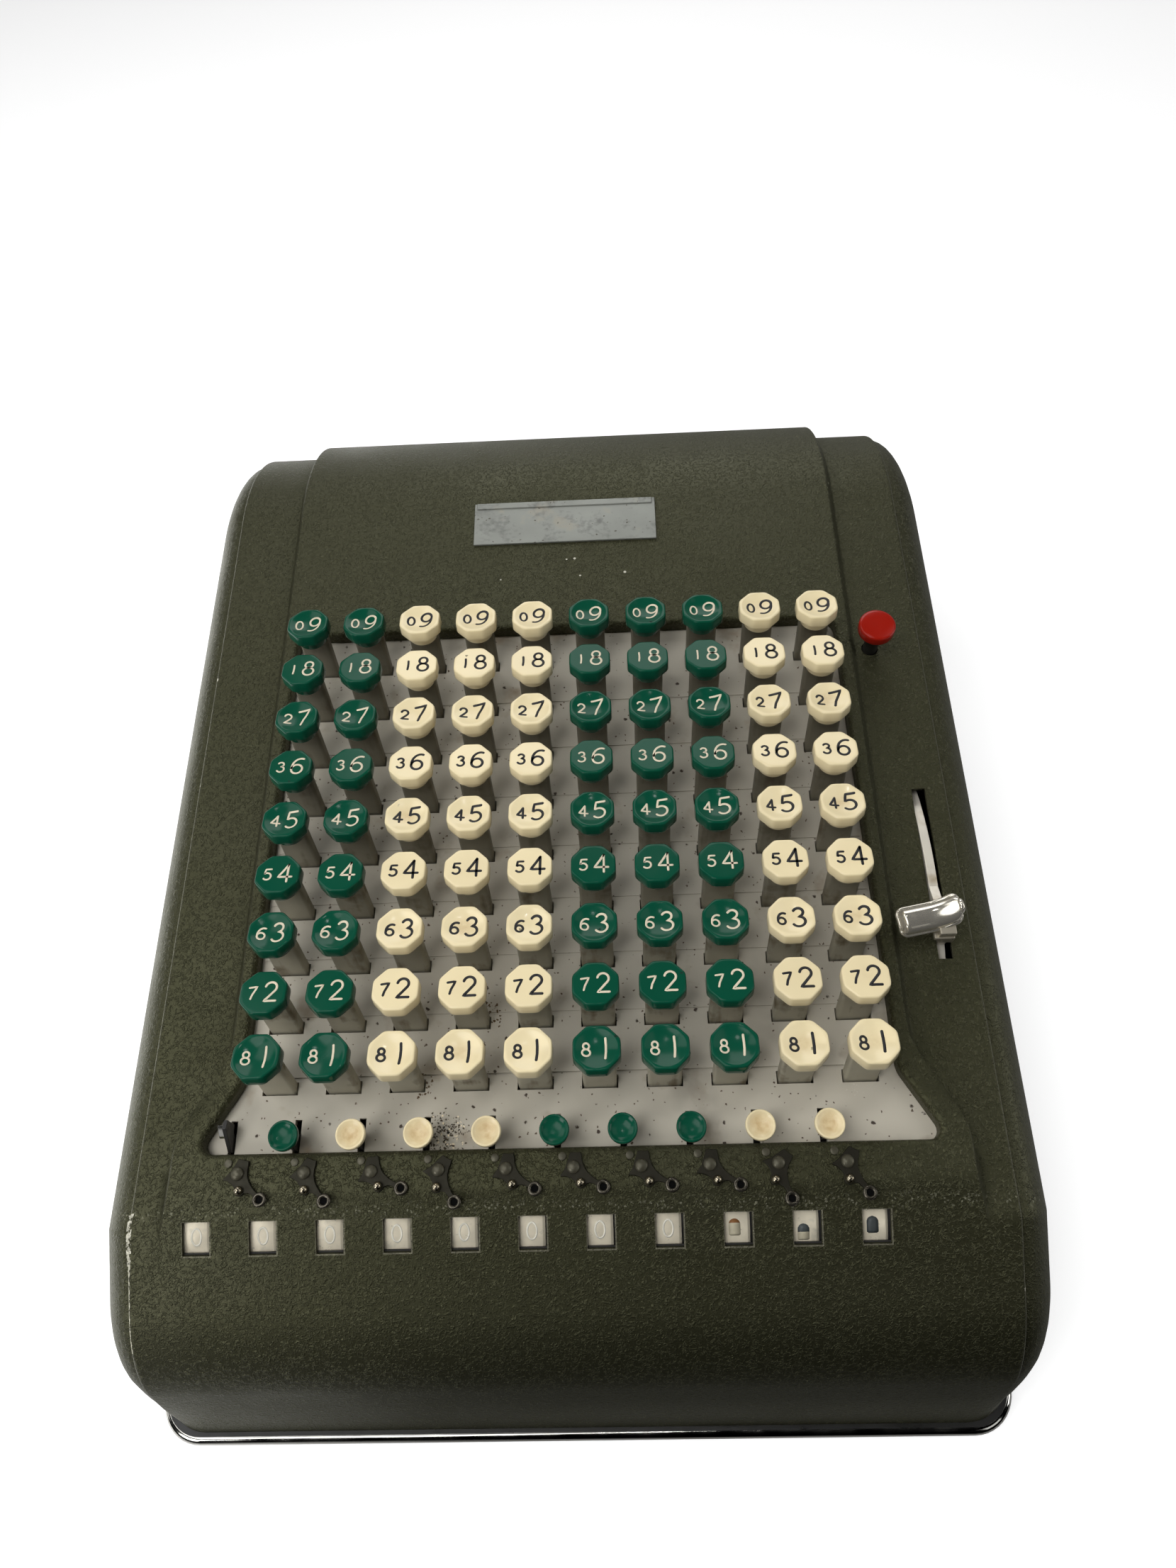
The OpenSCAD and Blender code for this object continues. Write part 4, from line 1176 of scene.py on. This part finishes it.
# Name plate: a small aluminium plate on the back of the deck with a raised band along its top, left bare.
# It is dull, lightly streaked and spotted with age.
plate_metal = uneven_finish("plate metal", (0.30, 0.31, 0.28), 0.12, 60.0, 0.45, 0.10, 1400.0, 0.00001, 0.5)
lay_over(plate_metal, stains(plate_metal, 500.0, 3.0, 0.52, 0.66), (0.19, 0.195, 0.18), 0.5)
lay_over(plate_metal, blotches(plate_metal, 120.0, 0.60, 0.75), (0.36, 0.34, 0.28), 0.5)
lay_over(plate_metal, specks(plate_metal, 700.0, 0.3, 0.12), (0.12, 0.11, 0.09), 0.7)
plate = make_piece("plate_body", extruded(rectangle(-33.5, 118.9, 34.5, 138.1), RAISED - 0.1, RAISED + 0.8),
                   plate_metal, "case", 25)
band = make_piece("plate_band", extruded(rectangle(-32.6, 135.3, 33.4, 138.0), RAISED + 0.5, RAISED + 1.3),
                  plate_metal, "case", 25)
soften_edges(plate, 0.25)
soften_edges(band, 0.35, 3)
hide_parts("name_plate")
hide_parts("name_plate")

# Clearing lever: a steel sector that swings in the slot, with a chromed finger piece riveted on above it.
# The finger piece is pressed sheet, crowned, with a rolled rim all round and a turned-up right end.
CLEAR_X = 115.6
SECTOR_T = 2.9
SECTOR_R = 81.0
HANDLE_R = 97.0
HANDLE_LONG = 8.9
HANDLE_DEEP = 4.0
HANDLE_CORNER = 1.9
HANDLE_METAL = 0.8
handle_chrome = uneven_finish("handle chrome", (0.74, 0.70, 0.60), 0.06, 80.0, 0.17, 0.06, 900.0, 0.000003, 0.80)
sector_steel = uneven_finish("sector steel", (0.84, 0.79, 0.68), 0.08, 90.0, 0.38, 0.08, 1500.0, 0.000008, 0.4)
lay_over(sector_steel, stains(sector_steel, 90.0, 1.0, 0.48, 0.62), (0.46, 0.36, 0.22), 0.4)
bracket_steel = uneven_finish("bracket steel", (0.47, 0.43, 0.34), 0.10, 150.0, 0.34, 0.10, 1400.0, 0.00001, 0.6)
clear_pivot = Vector(joint_of["clear_lever"]["pos_m"])
clear_matrix = Matrix.Translation(clear_pivot) @ Matrix.Rotation(DECK_SLOPE + math.radians(17.4), 4, "X")
handle_matrix = (Matrix.Translation(clear_pivot) @ Matrix.Rotation(DECK_SLOPE + math.radians(12.0), 4, "X")
                 @ shift(-6.8, 0.0, HANDLE_R) @ Matrix.Rotation(math.radians(10.0), 4, "Z"))


def sector_shape():
    """The sector plate: hub, the arc that shows in the slot, and the neck that rises to the finger piece."""
    def rim(angles):
        return [(SECTOR_R * math.sin(math.radians(a)), SECTOR_R * math.cos(math.radians(a))) for a in angles]

    outline = [(-7.0, 0.0), *rim((-2.6, -1.5, -0.4, 0.6)), (1.2, 82.4), (4.8, 93.8), (11.9, 91.6), (13.0, 86.6),
               (14.2, 82.7), (19.0, 78.74), *rim(range(15, 46, 2)), (7.0, -2.0), (5.0, -7.0), (0.0, -9.0),
               (-5.0, -7.0)]
    middle = CLEAR_X - clear_pivot.x / MM
    return extruded(outline[::-1], middle - SECTOR_T / 2, middle + SECTOR_T / 2, clear_matrix @ SIDE_VIEW)


def handle_point(u, share):
    """A point on top of the finger piece; the share runs from -1 at the front rim to 1 at the back one."""
    into = max(0.0, abs(u) - (HANDLE_LONG - HANDLE_CORNER)) / HANDLE_CORNER
    half = HANDLE_DEEP - HANDLE_CORNER * (1 - math.sqrt(max(0.0, 1 - into ** 2)))
    crown = 3.1 * (1 - abs(share) ** 3.0) ** 0.55
    rise = 2.6 * (max(0.0, u + 1.0) / (HANDLE_LONG + 1.0)) ** 2
    fall = 2.6 * (max(0.0, -u - 7.2) / (HANDLE_LONG - 7.2)) ** 2
    swept = 1.2 * (max(0.0, u) / HANDLE_LONG) ** 2
    return Vector((u, half * share + swept, crown - 2.7 + rise - fall * crown / 3.1))


def eased(low, high, steps):
    """Places from one to another, closer together towards both ends."""
    middle = (low + high) / 2
    return [middle + (high - middle) * math.sin(math.pi / 2 * (2 * step / steps - 1)) for step in range(steps + 1)]


def handle_shape():
    """The pressed top of the finger piece as a sheet."""
    lengths = eased(-HANDLE_LONG, HANDLE_LONG, 32)
    shares = eased(-1.0, 1.0, 20)
    wide = len(shares)
    faces = [(r * wide + k, (r + 1) * wide + k, (r + 1) * wide + k + 1, r * wide + k + 1)
             for r in range(len(lengths) - 1) for k in range(wide - 1)]
    return [handle_matrix @ (handle_point(u, share) * MM) for u in lengths for share in shares], faces


def rim_shape():
    """The rolled rim: a round bead that follows the edge of the finger piece, thicker at its right end."""
    straight = eased(-HANDLE_LONG, HANDLE_LONG, 40)
    ends = [step / 4 - 1 for step in range(1, 8)]
    line = [handle_point(u, -1.0) for u in straight] + [handle_point(HANDLE_LONG, share) for share in ends]
    line += [handle_point(u, 1.0) for u in straight[::-1]] + [handle_point(-HANDLE_LONG, -share) for share in ends]
    rings = []
    for k, place in enumerate(line):
        ahead = (line[(k + 1) % len(line)] - line[k - 1]).normalized()
        side = ahead.cross(Vector((0.0, 0.0, 1.0))).normalized()
        above = side.cross(ahead)
        bead = 0.60 + 0.22 * smooth_step((place.x - 5.4) / 2.8)
        rings.append([handle_matrix @ ((place + side * out + above * (rise - 0.25)) * MM)
                      for out, rise in arc(0, 0, bead, bead, 0, 360, 12)[:-1]])
    return tube_shape(rings)


sector = make_piece("clear_sector", sector_shape(), sector_steel, "clear_lever", 25)
soften_edges(sector, 0.25)
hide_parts("clear_lever")
handle = make_piece("clear_handle", handle_shape(), handle_chrome, "clear_lever", 80)
give_thickness(handle, HANDLE_METAL)
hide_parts("clear_lever")
make_piece("clear_rim", rim_shape(), handle_chrome, "clear_lever", 80)
bracket_shape = gathered([extruded(rectangle(110.9, -39.4, 117.0, -35.0), -17.2, -15.5),
                          extruded(rectangle(113.2, -39.1, 117.3, -35.6), -20.6, -17.0),
                          extruded(rectangle(112.0, -39.0, 116.9, -31.0), -16.0, -12.5)])
bracket = make_piece("clear_bracket", bracket_shape, bracket_steel, "clear_lever", 25)
soften_edges(bracket, 0.35, 3)

# Release key: a red plastic disc on a round steel stem through the right shoulder.
# Its rim is rounded, and its top is glossy and only a little worn.
RELEASE_TOP = -9.6
red_plastic = moulded_plastic("red plastic", (0.32, 0.010, 0.004), (0.26, 0.013, 0.006), 0.45, 0.30)
release_matrix = deck_matrix @ shift(*RELEASE_AT, RELEASE_TOP)
disc_profile = [(0, 0.0), (3.0, 0.0), (5.0, -0.02), (5.75, -0.12), (6.1, -0.45), (6.2, -0.9), (6.2, -3.2),
                (6.05, -3.8), (5.6, -4.2), (0, -4.2)]
stem_profile = [(0, -4.0), (2.5, -4.0), (2.5, -45.5), (2.2, -46.0), (0, -46.0)]
red_disc = make_piece("red_disc", turned_shape(disc_profile, 64, release_matrix), red_plastic, "release_key",
                      50)
store_values(red_disc, "wear", [0.2] * len(red_disc.data.vertices))
red_stem = make_piece("red_stem", turned_shape(stem_profile, 32, release_matrix), black_steel, "release_key",
                      40)
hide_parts("release_key")
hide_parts("release_key")

# Key caps: ninety octagonal caps moulded in green or cream, pressed on the stems by a round collar.
# Odd rows are dished and even rows flat, and each has two engraved numerals filled with cream or black.
CAP_HALF = 6.7
DISH_R = 15.0
DISH_DEPTH = 1.2
DISH_EDGE = 5.88
ink_white = uneven_finish("cream filling", (0.74, 0.65, 0.49), 0.08, 300.0, 0.5, 0.08)
ink_black = uneven_finish("black filling", (0.010, 0.010, 0.012), 0.1, 300.0, 0.42, 0.08)


def octagon(angle):
    """Distance to the octagon's side at an angle, with its corners rounded."""
    turn = math.radians((math.degrees(angle) + 22.5) % 45.0 - 22.5)
    eighth = math.radians(45.0)
    return (math.cos(turn) ** 26 + math.cos(eighth - abs(turn)) ** 26) ** (-1 / 26)


def dish_height(radius):
    """Height of the dished top at a distance from its middle."""
    return DISH_R - DISH_DEPTH - math.sqrt(DISH_R ** 2 - min(radius, DISH_EDGE) ** 2)


def cap_profile(dished):
    """Rings of a key cap from the middle of its top down to its collar."""
    if dished:
        top = [(r, dish_height(r)) for r in (0, 0.8, 1.7, 2.6, 3.5, 4.3, 5.0, 5.5)] + [(5.82, -0.045), (6.02, 0.0)]
    else:
        top = [(0, 0.0), (2.2, 0.0), (4.4, 0.0), (5.9, 0.0)]
    return top + [(6.22, 0.0, 0.0), (6.45, -0.06, 0.0), (6.62, -0.24, 0.0), (CAP_HALF, -0.52, 0.0),
                  (6.75, -2.2, 0.0), (6.79, -3.85, 0.0), (6.72, -4.08, 0.0), (6.5, -4.2, 0.05), (5.2, -4.2, 1.0),
                  (4.95, -4.3, 1.0), (4.88, -4.6, 1.0), (4.85, -7.6, 1.0), (4.6, -8.0, 1.0), (0, -8.0)]


def cap_wear(shape_points, centre, amount):
    """Wear that is strongest in the middle of a cap's top."""
    values = []
    for point in shape_points:
        away = math.hypot(point.x - centre.x, point.y - centre.y) / MM
        on_top = 1.0 if point.z - centre.z > -1.3 * MM else 0.15
        values.append(amount * on_top * math.exp(-(away / 2.6) ** 2))
    return values


chance = random.Random(8)
for row in range(1, 10):
    body = f"key_row_{row}"
    node = f"key_caps_row_{row}"
    low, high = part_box(node)
    dished = row % 2 == 1
    caps = {True: [], False: []}
    worn = {True: [], False: []}
    numerals = {True: [], False: []}
    for column, column_x in enumerate(column_offsets(row), 1):
        green = column in GREEN_COLUMNS
        centre = Vector((column_x, (low.y + high.y) / 2, high.z))
        shape = turned_shape(cap_profile(dished), 64, Matrix.Translation(centre), octagon)
        caps[green].append(shape)
        worn[green] += cap_wear(shape[0], centre, chance.uniform(0.05, 0.95) if dished else chance.uniform(0, 0.25))

        def cap_surface(x, y, centre=centre):
            """Millimetres from the middle of the cap's top, down in its dish if it has one."""
            sink = dish_height(math.hypot(x, y)) if dished and math.hypot(x, y) < DISH_EDGE else 0.0
            return centre + Vector((x, y, sink + INK_LIFT)) * MM

        stroke = 0.58 if green else 0.72
        numerals[green] += numeral_shape(str(9 - row), (-2.9, -0.2), 3.8, stroke, cap_surface)
        numerals[green] += numeral_shape(str(row), (2.2, 0.1), 6.0, stroke + 0.10, cap_surface)
    for green, colour_name, plastic, ink, slot in ((True, "green", green_plastic, ink_white, "green_plastic"),
                                                  (False, "cream", cream_plastic, ink_black, "key_plastic")):
        piece = make_piece(f"caps_{colour_name}_row_{row}", gathered(caps[green]), plastic, body, 38)
        store_values(piece, "wear", worn[green])
        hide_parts(node)
        filling = make_piece(f"numerals_{colour_name}_row_{row}", gathered(numerals[green]), ink, body)
        give_thickness(filling, INK_DEPTH)

# Studio: a floor that looks plain and pale to the camera but glows towards the machine as stand-in bounce light, soft
# area lights overhead and round about, and the photograph's viewpoint.
# The camera stands in front of the machine, well above it, with a wide lens.
floor_finish = uneven_finish("pale floor", (0.72, 0.72, 0.72), 0.006, 2.0, 0.8, 0.02)
floor_tree = floor_finish.node_tree
floor_shader = floor_tree.nodes["Principled BSDF"]
floor_shader.inputs["Emission Color"].default_value = (1.0, 1.0, 1.0, 1.0)
floor_shader.inputs["Emission Strength"].default_value = 0.60
# For every ray but the camera's, the floor glows though it is no lamp: more to the left and near the machine,
# standing in for bounce light
left_glow = ramp(floor_finish, along(floor_finish, RIGHT), -0.05, -0.30, 0.0, 0.45)
near_glow = ramp(floor_finish, along(floor_finish, BACK), -0.23, -0.19, 0.0, 0.28)
bounce = arithmetic(floor_finish, "MULTIPLY_ADD", product(floor_finish, left_glow, near_glow), 13.0,
                    arithmetic(floor_finish, "ADD", left_glow, near_glow))
bounce_glow = shader_node(floor_finish, "Emission", {"Strength": bounce}).outputs[0]
straight_view = shader_node(floor_finish, "LightPath").outputs["Is Camera Ray"]
either = shader_node(floor_finish, "MixShader", {0: straight_view, 1: bounce_glow, 2: floor_shader.outputs[0]})
floor_tree.links.new(either.outputs[0], floor_tree.nodes["Material Output"].inputs["Surface"])
floor = plain_mesh("floor", ([(-4, -4, 0), (4, -4, 0), (4, 4, 0), (-4, 4, 0)], [(0, 1, 2, 3)]))
floor.data.materials.append(floor_finish)
MIDDLE = (0.0, -0.02, 0.13)
FRONT_LEFT = (-0.13, -0.16, 0.07)
FRONT_RIGHT = (0.13, -0.16, 0.07)
for name, place, target, size, power in (
        ("overhead", (-0.36, -0.42, 1.14), MIDDLE, (0.60, 0.50), 2.9),
        ("overhead_fill", (-0.36, -0.42, 1.14), MIDDLE, (0.60, 0.50), 5.9),
        ("small_overhead", (0.02, 0.02, 1.30), MIDDLE, (0.08, 0.08), 0.45),
        ("left_above", (-0.85, 0.15, 1.15), MIDDLE, (0.8, 0.8), 3.7),
        ("right_above", (0.85, 0.15, 1.15), MIDDLE, (0.8, 0.8), 1.3),
        ("behind", (0.0, 1.05, 1.05), MIDDLE, (0.9, 0.7), 4.4),
        ("left", (-1.3, -0.1, 0.45), MIDDLE, (0.7, 0.5), 0.9),
        ("right", (1.3, -0.1, 0.45), MIDDLE, (0.7, 0.5), 2.6),
        ("front_left", (-0.40, -0.48, 0.34), FRONT_LEFT, (0.22, 0.22), 0.85),
        ("front_right", (0.44, -0.48, 0.34), FRONT_RIGHT, (0.22, 0.22), 0.13)):
    lamp = bpy.data.lights.new(name, "AREA")
    lamp.shape = "RECTANGLE"
    lamp.size, lamp.size_y = size
    lamp.energy = power
    stand = bpy.data.objects.new(name, lamp)
    bpy.context.scene.collection.objects.link(stand)
    stand.location = place
    stand.rotation_euler = (Vector(target) - Vector(place)).to_track_quat("-Z", "Y").to_euler()
    stand.visible_camera = False
    stand.visible_glossy = name != "overhead_fill"

world = bpy.data.worlds.new("studio")
world.use_nodes = True
sky = world.node_tree
outward = shader_node(sky, "SeparateXYZ", {"Vector": shader_node(sky, "TexCoord").outputs["Generated"]})
back_glow = ramp(sky, outward.outputs["Y"], 0.40, 0.95, 0.0, 0.35, "SMOOTHSTEP")
seen = shader_node(sky, "LightPath").outputs["Is Camera Ray"]
backdrop = shader_node(sky, "Mix", {0: seen, 2: back_glow, 3: 0.9}, data_type="FLOAT")
sky.links.new(backdrop.outputs[0], sky.nodes["Background"].inputs["Strength"])
sky.nodes["Background"].inputs["Color"].default_value = (1.0, 1.0, 1.0, 1.0)
bpy.context.scene.world = world
bpy.context.scene.view_settings.view_transform = "Standard"

forward = Vector((-0.034, 0.6084, -0.7925)).normalized()
right = Vector((0.999, -0.006, -0.047))
right = (right - forward * right.dot(forward)).normalized()
lens = bpy.data.cameras.new("viewpoint")
lens.lens = 24.95
lens.sensor_width = 36.0
camera = bpy.data.objects.new("viewpoint", lens)
bpy.context.scene.collection.objects.link(camera)
facing = Matrix((right, right.cross(forward), -forward)).transposed().to_4x4()
camera.matrix_world = Matrix.Translation(Vector((0.0198, -0.2279, 0.4000))) @ facing
bpy.context.scene.camera = camera
